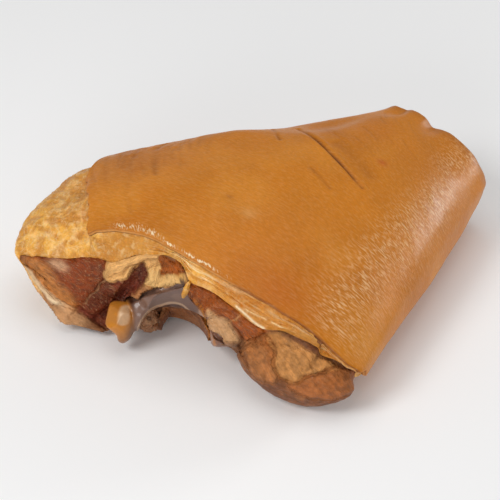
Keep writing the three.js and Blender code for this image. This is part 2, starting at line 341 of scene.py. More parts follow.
def reach_of(points, u, v, closed=False):
    """Distance from (u, v) to a stroke. For a closed patch it is over 0 inside and under 0 outside."""
    p = rounded(points, closed)
    a = p if closed else p[:-1]
    b = np.roll(p, -1, 0) if closed else p[1:]
    near = np.full(np.shape(u), 1e9)
    inside = np.zeros(np.shape(u), bool)
    for (au, av), (bu, bv) in zip(a, b):
        eu, ev = bu - au, bv - av
        k = np.clip(((u - au) * eu + (v - av) * ev) / max(eu * eu + ev * ev, 1e-9), 0, 1)
        near = np.minimum(near, np.hypot(u - au - k * eu, v - av - k * ev))
        if closed and bv != av:
            inside ^= ((av > v) != (bv > v)) & (u < au + (v - av) * eu / ev)
    return np.where(inside, near, -near) if closed else near


def stroke(points, u, v, width):
    return bell(reach_of(points, u, v) / width)


def patch(points, u, v, soft):
    return smooth(-soft, soft, reach_of(points, u, v, True))


# ---- Colour ----
def paint(code):
    """Linear colour from a display colour such as 0xC87E34."""
    c = np.array([code >> 16 & 255, code >> 8 & 255, code & 255]) / 255
    return np.where(c <= 0.04045, c / 12.92, ((c + 0.055) / 1.055) ** 2.4)


def tint(colour, *coats):
    """The colour of each point under further coats. Each is a display colour and its share."""
    for code, share in coats:
        colour = mix(colour, paint(code), np.clip(share, 0, 1)[..., None])
    return colour


# ---- Mesh helpers ----
def deselect():
    if bpy.context.object and bpy.context.object.mode != "OBJECT":
        bpy.ops.object.mode_set(mode="OBJECT")
    bpy.ops.object.select_all(action="DESELECT")


def pick(obj):
    deselect()
    obj.select_set(True)
    bpy.context.view_layer.objects.active = obj


def finish_with(obj, kind, **settings):
    """Adds a modifier and applies it."""
    pick(obj)
    modifier = obj.modifiers.new(kind.lower(), kind)
    for name, value in settings.items():
        setattr(modifier, name, value)
    bpy.ops.object.modifier_apply(modifier=modifier.name)


def merge_close(obj, threshold, outward=False):
    pick(obj)
    bpy.ops.object.mode_set(mode="EDIT")
    bpy.ops.mesh.select_all(action="SELECT")
    bpy.ops.mesh.remove_doubles(threshold=threshold)
    if outward:
        bpy.ops.mesh.normals_make_consistent(inside=False)
    bpy.ops.object.mode_set(mode="OBJECT")


def points_of(obj, kind="co"):
    flat = np.zeros(len(obj.data.vertices) * 3)
    obj.data.vertices.foreach_get(kind, flat)
    return flat.reshape(-1, 3)


def normals_of(obj):
    return points_of(obj, "normal")


def move_to(obj, points):
    obj.data.vertices.foreach_set("co", np.ascontiguousarray(points, dtype=np.float32).ravel())
    obj.data.update()


def move_limb(obj, limb):
    """Moves the mesh to these limb points, held inside the part's box, and reads them back."""
    move_to(obj, to_frame(np.clip(limb, BOX[0] - ORIGIN, BOX[1] - ORIGIN)))
    return to_limb(points_of(obj))


def finish_part(obj, chosen, kind, **settings):
    """Applies a modifier to the chosen points only."""
    group = obj.vertex_groups.new(name="chosen")
    group.add(np.nonzero(chosen)[0].tolist(), 1.0, "REPLACE")
    finish_with(obj, kind, vertex_group="chosen", **settings)
    obj.vertex_groups.clear()


def sleeve_normals(points):
    """Outward directions of a closed sleeve's grid of points."""
    du = np.roll(points, -1, 0) - np.roll(points, 1, 0)
    dv = np.roll(points, -1, 1) - np.roll(points, 1, 1)
    normal = np.cross(dv, du)
    return normal / np.maximum(np.linalg.norm(normal, axis=-1), 1e-9)[..., None]


def sleeve(name, points, girth, y, **colours):
    """A closed sleeve round the limb, from a grid whose columns run round it and rows along its strip.
    The UV map holds the distance round and along the limb, in decimetres."""
    columns, rows = y.shape
    deselect()
    bpy.ops.mesh.primitive_grid_add(x_subdivisions=columns, y_subdivisions=rows, size=1)
    obj = bpy.context.object
    obj.name = obj.data.name = name
    spot = points_of(obj)
    column = np.rint((spot[:, 0] + 0.5) * columns).astype(int)
    row = np.rint((spot[:, 1] + 0.5) * rows).astype(int)
    at = (column % columns, row % rows)
    move_limb(obj, points[at])
    u = girth[at[0], 0] + np.where(column == columns, GIRTH[-1], 0)
    corners = np.zeros(len(obj.data.loops), np.int64)
    obj.data.loops.foreach_get("vertex_index", corners)
    uv = np.stack([u, y[at]], -1)[corners] / 100
    obj.data.uv_layers[0].data.foreach_set("uv", uv.ravel())
    for label, values in colours.items():
        write_colour(obj, label, values[at])
    merge_close(obj, 0.000002, outward=True)
    return obj


def write_colour(obj, name, values):
    """Stores a colour for each point of the mesh."""
    layer = obj.data.attributes.new(name, "FLOAT_COLOR", "POINT")
    full = np.ones((len(values), 4), np.float32)
    full[:, :3] = np.clip(values, 0, 1)
    layer.data.foreach_set("color", full.ravel())


def shade(obj, material, slot_name, *nodes):
    pick(obj)
    bpy.ops.object.shade_smooth()
    obj.data.materials.clear()
    obj.data.materials.append(material)
    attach(obj, "root")
    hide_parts(*nodes)


# ---- Node helpers ----
class Tree:
    """A node tree. What goes into a node may be a number, a colour or another node's socket."""

    def __init__(self, tree):
        self.tree = tree

    def feed(self, socket, value):
        if isinstance(value, bpy.types.NodeSocket):
            self.tree.links.new(value, socket)
        else:
            socket.default_value = value

    def add(self, kind, inputs=None, **settings):
        """Adds a node and gives its outputs."""
        made = self.tree.nodes.new("ShaderNode" + kind)
        for name, value in settings.items():
            setattr(made, name, value)
        for name, value in (inputs or {}).items():
            self.feed(made.inputs[name], value)
        return made.outputs

    def times(self, a, b, clamp=False):
        return self.add("Math", {0: a, 1: b}, operation="MULTIPLY", use_clamp=clamp)[0]

    def plus(self, a, b, clamp=False):
        return self.add("Math", {0: a, 1: b}, operation="ADD", use_clamp=clamp)[0]

    def remap(self, value, low, high, to_low, to_high):
        return self.add("MapRange", {0: value, 1: low, 2: high, 3: to_low, 4: to_high})[0]

    def blend(self, share, a, b, blend_type="MIX"):
        return self.add("Mix", {0: share, 6: a, 7: b}, data_type="RGBA", blend_type=blend_type)[2]

    def scaled(self, colour, factor):
        """A colour made lighter or darker by a factor near 1."""
        grey = self.add("CombineColor", {0: factor, 1: factor, 2: factor})[0]
        return self.blend(1.0, colour, grey, "MULTIPLY")

    def noise(self, vector, scale=1.0, detail=2.0, roughness=0.5, distortion=0.0, flat=False):
        inputs = {"Vector": vector, "Scale": scale, "Detail": detail, "Roughness": roughness, "Distortion": distortion}
        return self.add("TexNoise", inputs, noise_dimensions="2D" if flat else "3D")["Fac"]


def new_group(name, inputs, outputs):
    """A node group: its tree, the sockets it takes and those it gives."""
    group = bpy.data.node_groups.new(name, "ShaderNodeTree")
    for label, kind, value in inputs:
        socket = group.interface.new_socket(label, in_out="INPUT", socket_type="NodeSocket" + kind)
        if value is not None:
            socket.default_value = value
    for label, kind in outputs:
        group.interface.new_socket(label, in_out="OUTPUT", socket_type="NodeSocket" + kind)
    start = group.nodes.new("NodeGroupInput")
    end = group.nodes.new("NodeGroupOutput")
    return Tree(group), start.outputs, end.inputs


def make_mottle():
    """Uneven colour: broad clouds and fine specks, as a factor near 1, and the specks as a height."""
    tree, take, give = new_group(
        "mottle",
        [
            ("Vector", "Vector", None), ("Cloud Scale", "Float", 40.0), ("Cloud Amount", "Float", 0.15),
            ("Speck Scale", "Float", 500.0), ("Speck Amount", "Float", 0.1),
        ],
        [("Factor", "Float"), ("Height", "Float")],
    )
    clouds = tree.noise(take["Vector"], take["Cloud Scale"], 3.0)
    specks = tree.noise(take["Vector"], take["Speck Scale"], 2.0)
    cloud = tree.times(tree.plus(clouds, -0.5), take["Cloud Amount"])
    speck = tree.times(tree.plus(specks, -0.5), take["Speck Amount"])
    tree.feed(give["Factor"], tree.plus(tree.plus(cloud, speck), 1.0))
    tree.feed(give["Height"], specks)
    return tree.tree


def make_fibres():
    """Fine lines along X of the vector it is given."""
    tree, take, give = new_group(
        "fibres",
        [("Vector", "Vector", None), ("Scale", "Float", 900.0), ("Stretch", "Float", 0.08)],
        [("Line", "Float")],
    )
    squeezed = tree.add("CombineXYZ", {"X": take["Stretch"], "Y": 1.0, "Z": 1.0})[0]
    path = tree.add("VectorMath", {0: take["Vector"], 1: squeezed}, operation="MULTIPLY")[0]
    tree.feed(give["Line"], tree.noise(path, take["Scale"], 2.0, 0.6))
    return tree.tree


MOTTLE = make_mottle()
FIBRES = make_fibres()


# ---- Materials ----
class Tissue(Tree):
    """A material whose colour and three masks are stored on the mesh, with clouds and specks over it.
    clouds and specks are each a scale and an amount."""

    def __init__(self, name, clouds, specks):
        self.material = bpy.data.materials.new(name)
        self.material.use_nodes = True
        super().__init__(self.material.node_tree)
        self.place = self.add("TexCoord")
        self.masks = list(self.add("SeparateColor", {0: self.stored("finish", "Color")}))
        amounts = dict(zip(("Cloud Scale", "Cloud Amount", "Speck Scale", "Speck Amount"), clouds + specks))
        mottle = self.add("Group", {"Vector": self.place["Object"], **amounts}, node_tree=MOTTLE)
        self.specks = mottle["Height"]
        self.base = self.scaled(self.stored("tissue", "Color"), mottle["Factor"])

    def stored(self, name, output):
        return self.add("Attribute", attribute_name=name)[output]

    def mapped(self, around_limb, along_limb, turn=0.0, **settings):
        """The flat map of the skin, stretched and turned."""
        inputs = {"Vector": self.place["UV"], "Scale": (around_limb, along_limb, 1.0), "Rotation": (0.0, 0.0, turn)}
        return self.add("Mapping", inputs, **settings)[0]

    def cells(self, scale):
        return self.add("TexVoronoi", {"Vector": self.place["Object"], "Scale": scale})["Distance"]

    def fibres(self, scale, stretch):
        inputs = {"Vector": self.stored("lay", "Vector"), "Scale": scale, "Stretch": stretch}
        return self.add("Group", inputs, node_tree=FIBRES)["Line"]

    def done(self, height, strength, distance, surface):
        """Gives the shader its bump and the values of its surface."""
        bump = self.add("Bump", {"Height": height, "Strength": strength, "Distance": distance})[0]
        shader = self.tree.nodes["Principled BSDF"]
        for name, value in {**surface, "Normal": bump}.items():
            self.feed(shader.inputs[name], value)
        return self.material


def skin_material():
    t = Tissue("smoked_rind", (45.0, 0.3), (700.0, 0.2))
    ridged, dry, hollow = t.masks
    # Short fine ridges run round the limb. They are strong in the glossy band.
    ridges = t.noise(t.mapped(32.0, 130.0), 1.0, 2.5, 0.6, 0.5, flat=True)
    hatch = t.noise(t.mapped(45.0, 190.0, 0.25), flat=True)
    ridge_height = t.times(ridges, t.plus(t.times(ridged, 1.5), 0.1))
    height = t.plus(t.plus(ridge_height, t.times(hatch, 0.16)), t.times(t.cells(900.0), 0.1))
    rough = t.plus(t.remap(t.specks, 0.3, 0.7, 0.34, 0.46), t.times(t.plus(dry, hollow), 0.25), True)
    lines = t.remap(hatch, 0.35, 0.65, 0.955, 1.045)
    # Painted light and shade: crests lighter and furrows darker in the glossy band.
    ridge_light_and_shade = t.plus(t.times(t.remap(ridges, 0.38, 0.66, -0.1, 0.16), ridged), 1.0)
    skin = t.scaled(t.scaled(t.base, lines), ridge_light_and_shade)
    # A painted highlight makes the ridge crests paler in the glossy band.
    painted_crest_highlight = t.times(t.remap(ridges, 0.48, 0.66, 0.0, 0.62), ridged)
    skin = t.blend(painted_crest_highlight, skin, (0.8, 0.56, 0.3, 1.0))
    # White splinters stand across the cut edge, where the skin has cracked.
    cracks = t.noise(t.mapped(0.024, 0.0044, 0.95, vector_type="TEXTURE"), distortion=0.3, flat=True)
    lifted = t.plus(cracks, t.times(dry, 0.34))
    splinters = t.times(t.remap(lifted, 0.62, 0.72, 0.0, 1.0), t.times(dry, 1.9, True))
    skin = t.blend(splinters, skin, (0.9, 0.7, 0.44, 1.0))
    return t.done(height, 0.6, 0.0006, {
        "Base Color": skin,
        "Roughness": rough,
        "Specular IOR Level": 0.25,
        "Specular Tint": (1.0, 0.84, 0.62, 1.0),
        "Coat Weight": t.plus(t.times(ridged, 0.3), 0.02),
        "Coat Roughness": 0.24,
        "Subsurface Weight": 0.08,
        "Subsurface Radius": (0.004, 0.0018, 0.0008),
    })


def fat_material():
    t = Tissue("smoked_fat", (260.0, 0.4), (900.0, 0.5))
    stranded, calm, _ = t.masks
    strands = t.noise(t.mapped(24.0, 95.0), 1.0, 3.0, 0.5, 0.8, flat=True)
    lumps = t.noise(t.place["Object"], 420.0, 3.0, 0.6, 0.6)
    height = t.plus(t.plus(t.times(strands, stranded), t.times(lumps, 0.9)), t.times(t.cells(850.0), 0.35))
    # Cream flecks lie in the amber.
    quiet = t.add("Math", {0: calm, 1: t.times(stranded, 0.6)}, operation="MAXIMUM")[0]
    flecks_and_painted_glints = t.times(t.remap(lumps, 0.5, 0.68, 0.0, 0.5), t.plus(1.0, t.times(quiet, -1.0)))
    return t.done(height, 0.7, 0.0009, {
        "Base Color": t.blend(flecks_and_painted_glints, t.base, (0.86, 0.62, 0.32, 1.0)),
        "Roughness": t.remap(lumps, 0.3, 0.7, 0.32, 0.5),
        "Specular IOR Level": 0.4,
        "Specular Tint": (1.0, 0.86, 0.64, 1.0),
        "Coat Weight": 0.14,
        "Coat Roughness": 0.22,
        "Subsurface Weight": 0.12,
        "Subsurface Radius": (0.004, 0.002, 0.001),
    })


def meat_material():
    t = Tissue("smoked_meat", (140.0, 0.45), (900.0, 0.4))
    fibre, wet, _ = t.masks
    # The fibres run along the first of the lay's three lengths.
    line = t.plus(t.times(t.fibres(230.0, 0.07), 0.6), t.times(t.fibres(90.0, 0.09), 0.4))
    glints = t.fibres(300.0, 0.3)
    lumps = t.noise(t.place["Object"], 480.0, 3.0, 0.6)
    height = t.plus(t.times(t.times(line, fibre), 1.5), t.times(lumps, 0.9))
    height = t.plus(height, t.times(glints, wet))
    stripes = t.plus(t.times(t.plus(line, -0.5), t.times(fibre, 1.7)), 1.0)
    # Painted glints lie along the wet fibres as small pale flecks.
    flecks_and_painted_glints = t.times(t.remap(glints, 0.58, 0.68, 0.0, 0.6), t.times(wet, fibre))
    return t.done(height, 0.85, 0.0011, {
        "Base Color": t.blend(flecks_and_painted_glints, t.scaled(t.base, stripes), (0.62, 0.36, 0.18, 1.0)),
        "Roughness": t.remap(wet, 0.0, 1.0, 0.65, 0.34),
        "Specular IOR Level": 0.36,
        "Specular Tint": (1.0, 0.74, 0.5, 1.0),
        "Coat Weight": t.times(wet, 0.14),
        "Coat Roughness": 0.1,
    })


def bone_material():
    t = Tissue("joint_cartilage_and_bone", (170.0, 0.35), (1000.0, 0.22))
    dry, glossy, torn = t.masks
    height = t.times(t.noise(t.place["Object"], 380.0, 3.0), t.plus(t.plus(dry, torn), 0.2))
    return t.done(height, 0.6, 0.0009, {
        "Base Color": t.base,
        "Roughness": t.remap(glossy, 0.0, 1.0, 0.55, 0.26),
        "Specular IOR Level": 0.35,
        "Coat Weight": t.times(glossy, 0.35),
        "Coat Roughness": 0.12,
    })


# ---- Rind ----
RIND_COLUMNS = 424
# The rounded lip at the cut edge and the rim at the ankle: distance along the limb and depth, in mm.
RIND_LIP = [(0.5, 2.25), (0.15, 1.9), (0.0, 1.4), (0.0, 0.85), (0.12, 0.4), (0.4, 0.12), (0.85, 0.0)]
RIND_RIM = [(-0.9, 0.0), (-0.35, 0.15), (-0.05, 0.6), (0.0, 1.2), (-0.05, 1.8), (-0.3, 2.2)]
OUTER_ROWS = 190
INNER_ROWS = 10
# Lines in the skin: (degrees, y) points, half width, depth in mm and how strong their painted shade is.
CREASES = [
    ([(119, 107), (103.5, 102), (94.5, 99), (86.5, 95), (77, 91), (69, 88), (64, 86.5)], 0.75, 1.1, 0.85),
    ([(88, 103), (83, 102), (75, 99.5), (66, 96.5)], 2.8, 0.5, 0.22),
    ([(82, 79), (78, 77.5), (71, 74.5)], 0.9, 0.2, 0.3),
    ([(124, 99), (112.5, 94), (101, 88)], 0.7, 0.6, 0.5),
    ([(121.5, 47), (114.5, 39.5), (108.5, 34.5), (102.5, 24.5), (96, 15)], 0.9, 0.3, 0.2),
    ([(129, 62), (121, 53.5), (112, 47.5), (102, 38)], 1.0, 0.42, 0.3),
    ([(60.5, 29), (55, 26.2), (50.5, 25)], 0.6, 0.12, 0.12),
]


def small_wrinkles():
    """Short fine wrinkles where the skin turns over, at the back left and by the ankle."""
    dice = np.random.default_rng(7)
    rows = []
    for _ in range(30):
        degree, y = dice.uniform(112, 128), dice.uniform(30, 72)
        reach, slant = dice.uniform(4, 12), dice.uniform(0.6, 0.95)
        bow = dice.uniform(-1.2, 1.2)
        path = [(degree + reach, y + reach * slant), (degree, y + bow), (degree - reach, y - reach * slant)]
        rows.append((path, dice.uniform(0.5, 0.8), dice.uniform(0.1, 0.26), dice.uniform(0.06, 0.2)))
    for _ in range(16):
        degree, y = dice.uniform(66, 104), dice.uniform(104, 150)
        reach = dice.uniform(3, 9)
        bow = dice.uniform(-0.8, 0.8)
        path = [(degree + reach, y + reach * 0.45), (degree, y + bow), (degree - reach, y - reach * 0.4)]
        rows.append((path, dice.uniform(0.45, 0.8), dice.uniform(0.08, 0.2), dice.uniform(0.08, 0.22)))
    return rows


# The glossy band along the right flank, whose ridge crests also carry painted highlight and shade: (degrees, y).
GLOSS_BAND = [(37, 19), (40, 30), (37, 52.5), (34, 78.5), (34, 103.5), (37, 123), (44.5, 151.5)]


def on_skin(path):
    return [(float(girth_at(np.radians(degree))), y) for degree, y in path]


def rind_edge(theta):
    spot = np.stack([girth_at(theta), theta * 0, theta * 0], -1)
    calm = smooth(104, 112, np.degrees(theta) % 360)
    return around(RIND_EDGE, theta) + mix(0.22, 0.3, calm) * grain(spot, 5, 3, 2)


def ankle_end(theta):
    spot = np.stack([girth_at(theta), theta * 0, theta * 0 + 9], -1)
    return LENGTH - 1.4 + 1.1 * grain(spot, 14, 5, 2)


def row_shares():
    """Rows stand closer near the cut edge and at the long crease."""
    fine = np.linspace(0, 1, 4001)
    weight = 1 + 1.7 * np.exp(-fine / 0.035) + 0.9 * bell((fine - 0.59) / 0.06)
    run = np.concatenate([[0], np.cumsum((weight[1:] + weight[:-1]) / 2)])
    return np.interp(np.arange(1, OUTER_ROWS) / OUTER_ROWS, run / run[-1], fine)


def build_rind():
    theta = even_angles(RIND_COLUMNS)[:, None]
    edge, end = rind_edge(theta), ankle_end(theta)
    first = edge + RIND_LIP[-1][0]
    last = end + RIND_RIM[0][0]
    inner = np.arange(INNER_ROWS, 0, -1) / (INNER_ROWS + 1)
    y = np.hstack(
        [edge + back for back, _ in RIND_LIP]
        + [mix(first, last, row_shares())]
        + [end + back for back, _ in RIND_RIM]
        + [mix(edge + 1, end - 1, inner)]
    )
    depth = np.hstack(
        [[d for _, d in RIND_LIP], np.zeros(OUTER_ROWS - 1), [d for _, d in RIND_RIM], np.full(INNER_ROWS, RIND)]
    )
    depth = np.broadcast_to(depth, y.shape)
    theta = np.broadcast_to(theta, y.shape)
    limb = skin_point(theta, y, depth)
    outside = depth < OUTSIDE
    girth = girth_at(theta)
    gloss = stroke(on_skin(GLOSS_BAND), girth, y, 11.5) * smooth(2, 16, y)
    gloss = gloss * np.clip(0.8 + 0.55 * grain(limb, 12, 15, 2), 0, 1)
    raise_by = 0.3 * grain(limb, 26, 11, 2) + 0.07 * grain(limb, 6, 12) + 0.05 * gloss * grain(limb, (4, 1.6, 4), 13)
    hollow = np.zeros(y.shape)
    fade = 0.75 + 0.35 * grain(limb, 7, 14)
    # Each crease sinks the skin and carries painted shade along its line.
    for path, width, deep, crease_shade in CREASES + small_wrinkles():
        d = reach_of(on_skin(path), girth, y)
        line = bell(d / width)
        raise_by += deep * fade * (0.3 * bell((d - 2.4 * width) / (1.5 * width)) - line)
        hollow = np.maximum(hollow, line * crease_shade * fade)
    raise_by *= np.where(outside, smooth(0, 2.5, y - edge), 0) * smooth(1.5, 6, limb[..., 2])
    limb = limb + sleeve_normals(limb) * raise_by[..., None]
    colours = paint_rind(limb, np.degrees(theta) % 360, girth, y, y - edge, depth, hollow, gloss)
    obj = sleeve("rind", limb, girth, y, **colours)
    shade(obj, skin_material(), "rind_and_fat", "rind_and_fat")


# Colour patches: middle (degrees, y), radii round and along in mm, display colour, share.
RIND_PATCHES = [
    ((57, 12), (20, 16), 0xB05614, 0.6),
    ((64, 36), (26, 20), 0xB86A1C, 0.4),
    ((40, 130), (30, 28), 0xB06414, 0.45),
    ((60, 95), (40, 25), 0xB97018, 0.4),
    ((116, 44), (18, 18), 0xA9683C, 0.5),
    ((20, 20), (22, 20), 0xC07A14, 0.4),
    ((100, 70), (24, 22), 0xC87A20, 0.4),
    ((78.5, 38), (3.0, 3.0), 0xD8A060, 0.4),
    ((85.5, 41), (1.6, 1.6), 0x8A4A18, 0.4),
    ((69, 107.5), (3.2, 1.8), 0xA8421A, 0.6),
    ((250, 70), (90, 60), 0xB9743A, 0.3),
]


def paint_rind(limb, degrees, girth, y, from_edge, depth, hollow, gloss):
    outside = depth < OUTSIDE
    colour = tint(
        np.broadcast_to(paint(0xC6771A), limb.shape),
        (0xB96A18, 0.5 * smooth(-0.2, 0.9, grain(limb, 30, 21, 2))),
        (0xD2882E, 0.5 * smooth(0, 0.9, grain(limb, 22, 22, 2))),
    )
    for (angle, middle), (ru, rv), code, share in RIND_PATCHES:
        du = (girth - float(girth_at(np.radians(angle)))) / ru
        colour = tint(colour, (code, share * bell(du, (y - middle) / rv)))
    # Near its cut edge the rind is cracked white over the joint, and painted shadow darkens the edge elsewhere.
    over = smooth(62, 68, degrees) * smooth(104, 94, degrees)
    fray = smooth(85, 92, degrees)
    run = np.stack([girth, girth * 0, girth * 0], -1)
    at = mix(0.9, 2.2, fray) + 0.5 * grain(run, 5, 32, 2)
    patchy = mix(0.75, 0.5, fray) * (0.75 + 0.7 * grain(run, 4, 33, 2))
    white = bell((from_edge - at) / mix(0.8, 2.0, fray)) * patchy
    white = np.clip(over * outside * smooth(0.05, 0.5, from_edge) * white, 0, 1)
    colour = tint(
        colour,
        # painted shade in the creases and wrinkles
        (0x6E3412, hollow),
        (0x9A5A22, 0.6 * smooth(LENGTH - 9, LENGTH - 1, y)),  # the rim at the ankle
        # painted shadow along the very edge, fainter over the joint
        (0x7A3E12, 0.75 * (1 - 0.5 * over) * smooth(0.6, 0.05, from_edge)),
        (0x9A5A28, 0.8 * ~outside),
        (0xC98A45, 0.85 * smooth(3, 1, from_edge) * ~outside * smooth(62, 72, degrees)),
        # painted shade on the lower side of the lip
        (0x6E3A12, 0.8 * smooth(4, 3, from_edge) * smooth(1.3, 1.9, depth)),
    )
    return {"tissue": colour, "finish": np.stack([0.12 + 0.88 * gloss, white, hollow], -1)}


# ---- Fat ----
FAT_COLUMNS = 500
BARE_ROWS = 104
NOSE_SHARE = 0.62  # the share of those rows that goes round the nose
UNDER_RIND = RIND + 0.12


def bare_fat(theta, q):
    """Where the bare fat runs, from its lower lip at q 0 to the rind's edge at q 1."""
    rind_y, fat_y, lobe = rind_edge(theta), around(FAT_EDGE, theta), around(LOBE, theta)
    deep = fat_depth(theta, fat_y)
    quarter = np.minimum(q / NOSE_SHARE, 1) * math.pi / 2
    nose = around(NOSE, theta)
    bent = fat_y + nose * (1 - np.cos(quarter))
    straight = mix(fat_y + nose, rind_y, (q - NOSE_SHARE) / (1 - NOSE_SHARE))
    nose_y = np.where(q < NOSE_SHARE, bent, straight)
    nose_depth = mix(deep, RIND, np.sin(quarter))
    cut_y = mix(fat_y, rind_y, q)
    cut_depth = mix(deep, RIND, q**0.8)
    return mix(cut_y, nose_y, lobe), mix(cut_depth, nose_depth, lobe)


def curled(limb, size, seed):
    """Bent ridges, from 0 in the furrows to 1 on the crests."""
    bent = limb + size * 0.7 * np.stack([grain(limb, size * 1.3, seed + k) for k in range(3)], -1)
    return 1 - np.minimum(np.abs(grain(bent, size, seed + 3)) * 1.7, 1)


def build_fat():
    theta = even_angles(FAT_COLUMNS)[:, None]
    fat_y, rind_y = around(FAT_EDGE, theta), rind_edge(theta)
    end = np.full_like(theta, LENGTH)
    q = np.linspace(0, 1, BARE_ROWS)
    bare_y, bare_depth = bare_fat(theta, np.broadcast_to(q, (len(theta), BARE_ROWS)))
    under = np.arange(1, 9) / 8
    under_y = mix(rind_y + 1.2, end - 1.2, under)
    ring = [(-0.2, 0.04), (0.2, 0.3), (0.35, 0.6), (0.2, 0.9)]
    end_depth = fat_depth(theta, end)
    back = np.arange(10, 0, -1) / 11
    back_y = mix(fat_y + 1.5, end - 0.5, back)
    y = np.hstack([bare_y, under_y] + [end + step for step, _ in ring] + [back_y])
    depth = np.hstack(
        [bare_depth, np.full_like(under_y, UNDER_RIND)]
        + [mix(UNDER_RIND, end_depth, share) for _, share in ring]
        + [fat_depth(theta, back_y)]
    )
    theta = np.broadcast_to(theta, y.shape)
    limb = skin_point(theta, y, depth)
    bare = np.zeros(y.shape, bool)
    bare[:, :BARE_ROWS] = True
    share = np.zeros(y.shape)
    share[:, :BARE_ROWS] = q
    girth, lobe = girth_at(theta), around(LOBE, theta)
    u, v = (part.reshape(y.shape) for part in on_cut(limb.reshape(-1, 3)))
    split = reach_of(STRIP_SPLIT, u, v) * bare
    crests = curled(limb, 5.5, 41)
    lumps = 0.4 * grain(limb, 11, 45, 2) + 0.45 * (crests - 0.6) + 0.3 * (curled(limb, 2.6, 47) - 0.6)
    strands = grain(np.stack([girth, share * 15, girth * 0], -1), (10, 1.5, 1), 44, 2)
    stranded = smooth(93, 84, np.degrees(theta) % 360)
    flat = 0.5 * strands + 0.25 * grain(limb, 3, 46, 2) - 0.6 * bell(split / 0.7)
    raise_by = mix(mix(0.6 * lumps, flat, stranded), lumps, lobe) * bare
    raise_by *= smooth(1, 0.95, share) * smooth(0.5, 5, limb[..., 2])
    limb = limb + sleeve_normals(limb) * raise_by[..., None]
    u, v = (part.reshape(y.shape) for part in on_cut(limb.reshape(-1, 3)))
    colours = paint_fat(limb, u, v, share, bare, lobe, stranded, strands, crests, split)
    obj = sleeve("fat", limb, girth, y, **colours)
    shade(obj, fat_material(), "rind_and_fat", "rind_and_fat")


def paint_fat(limb, u, v, share, bare, lobe, stranded, strands, crests, split):
    lumpy, upper = 1 - stranded, stranded * bare
    beneath = upper * smooth(20, 26, u) * patch(STRIP_BELOW, u, v, 0.5)
    colour = tint(
        np.broadcast_to(paint(0xE4A646), limb.shape),
        (0xEFC482, 0.6 * smooth(-0.1, 0.8, grain(limb, 4, 51, 3))),
        (0xC98232, 0.5 * smooth(0.0, 0.8, grain(limb, 7, 52, 3))),
        (0xB06A22, 0.5 * smooth(0.5, 0.05, crests) * lumpy),
        (0xF0D09A, 0.35 * smooth(0.85, 1.0, crests) * lumpy),
        (0xC0803E, 0.6 * smooth(0.5, 0.95, share) * lobe),
        (0xC27C28, 0.5 * smooth(0.14, 0.0, share) * bare * lumpy),
        (0xF0D4A2, 0.75 * upper * smooth(0.0, 0.5, strands) * smooth(0.3, 0.5, share)),
        (0xBF7620, 0.6 * upper * smooth(0.0, -0.5, strands)),
        (0xBC6E14, 0.65 * upper * smooth(8, 18, u)),
        (0xC07C26, 0.75 * bare * smooth(-46, -38, u) * smooth(-6, -14, u) * (1 - 0.5 * lobe)),
        (0xC07A26, 0.75 * beneath),
        (0xEFCF98, 0.8 * upper * bell(split / 0.5) * smooth(-0.4, 0.2, grain(limb, 3, 54))),
        (0xF2DDB6, 0.85 * bare * stroke(LOW_FAT_LIP, u, v, 0.8)),
        *((code, strength * bare * patch(shape, u, v, soft)) for shape, soft, code, strength in LEFT_RIM_COLOUR),
    )
    finish = np.stack([mix(0.35, 1.0, stranded) * (1 - lobe * 0.4), beneath, 0 * beneath], -1)
    return {"tissue": colour, "finish": finish}


# ---- The joint cut ----
LEFT_MUSCLE = [
    (-81.5, 28.8), (-75.9, 33.8), (-63.7, 37.5), (-55.5, 40.5), (-47.5, 44), (-41.8, 44.8), (-39.2, 41.3),
    (-40.2, 36.2), (-45.5, 27.6), (-54, 14.2), (-58.2, 10.6), (-68.7, 14.3), (-76.6, 20), (-80.5, 24.7),
]
LEFT_GLARE = [(-70.7, 31.3), (-63.4, 29.7), (-61.1, 32.9), (-66.3, 35.4)]
LEFT_MUSCLE_PALE = [
    (-82, 28), (-77, 31), (-71, 28), (-66, 21), (-58, 14.5), (-58, 9.5), (-68.7, 12.8),
    (-76.6, 18.5),
]
SECOND_MUSCLE = [
    (-53.3, 13.2), (-46.5, 23.7), (-39.8, 32.2), (-33.4, 36.9), (-29.8, 39.4), (-28.3, 36.6), (-32, 29.7),
    (-36.9, 21.4), (-43.5, 14.1), (-48.5, 9.3), (-53.4, 9.9),
]
DARK_TONGUE = [
    (-36.9, 21.4), (-32, 31.5), (-28.7, 38.9), (-24.6, 45.9), (-21.5, 49.9), (-19.1, 46.9), (-20.5, 40.7),
    (-24.8, 34.5), (-29.7, 26.3), (-33.8, 21.9),
]
CREVICE = [(-54.2, 9.6), (-49.4, 7.6), (-42.8, 11.8), (-37, 18.3), (-32.9, 24.9), (-30.4, 30.9), (-25.6, 36.8)]
CREVICE_LOW = [(-47.8, 6.9), (-43, 6.2), (-39.5, 15)]
FAN = [
    (-41, 35), (-40, 41), (-38.5, 45), (-29.5, 51), (-21, 56.3), (-12, 59), (-11.5, 53),
    (-12.3, 47.6), (-17.7, 40.1), (-20.1, 40), (-19.1, 46.5), (-21.1, 50.1), (-24.6, 46.8), (-27.8, 40.7),
    (-33.4, 36.2), (-38.2, 32.9),
]
MUSCLE_FOOT = [(-81.5, 25.5), (-77.5, 18.8), (-69, 13), (-58.5, 9.4)]
FAN_TOP = [(-38, 43), (-30, 49), (-22, 54.2), (-13, 57.2)]
FAN_FOLDS = [
    [(-37.8, 36), (-31.5, 42), (-24, 48.8)],
    [(-33.5, 39), (-28, 45.2), (-20, 52), (-14.5, 55.5)],
    [(-15.5, 44.5), (-15, 50), (-13.4, 55.5)],
]
TENDON = [
    (-20.1, 40), (-17.7, 47.5), (-13, 50.7), (-11.1, 47.2), (-5.4, 49.6), (-0.8, 48), (-3.9, 43.8),
    (-10, 41.6), (-16.2, 36.8), (-20.5, 36.3),
]
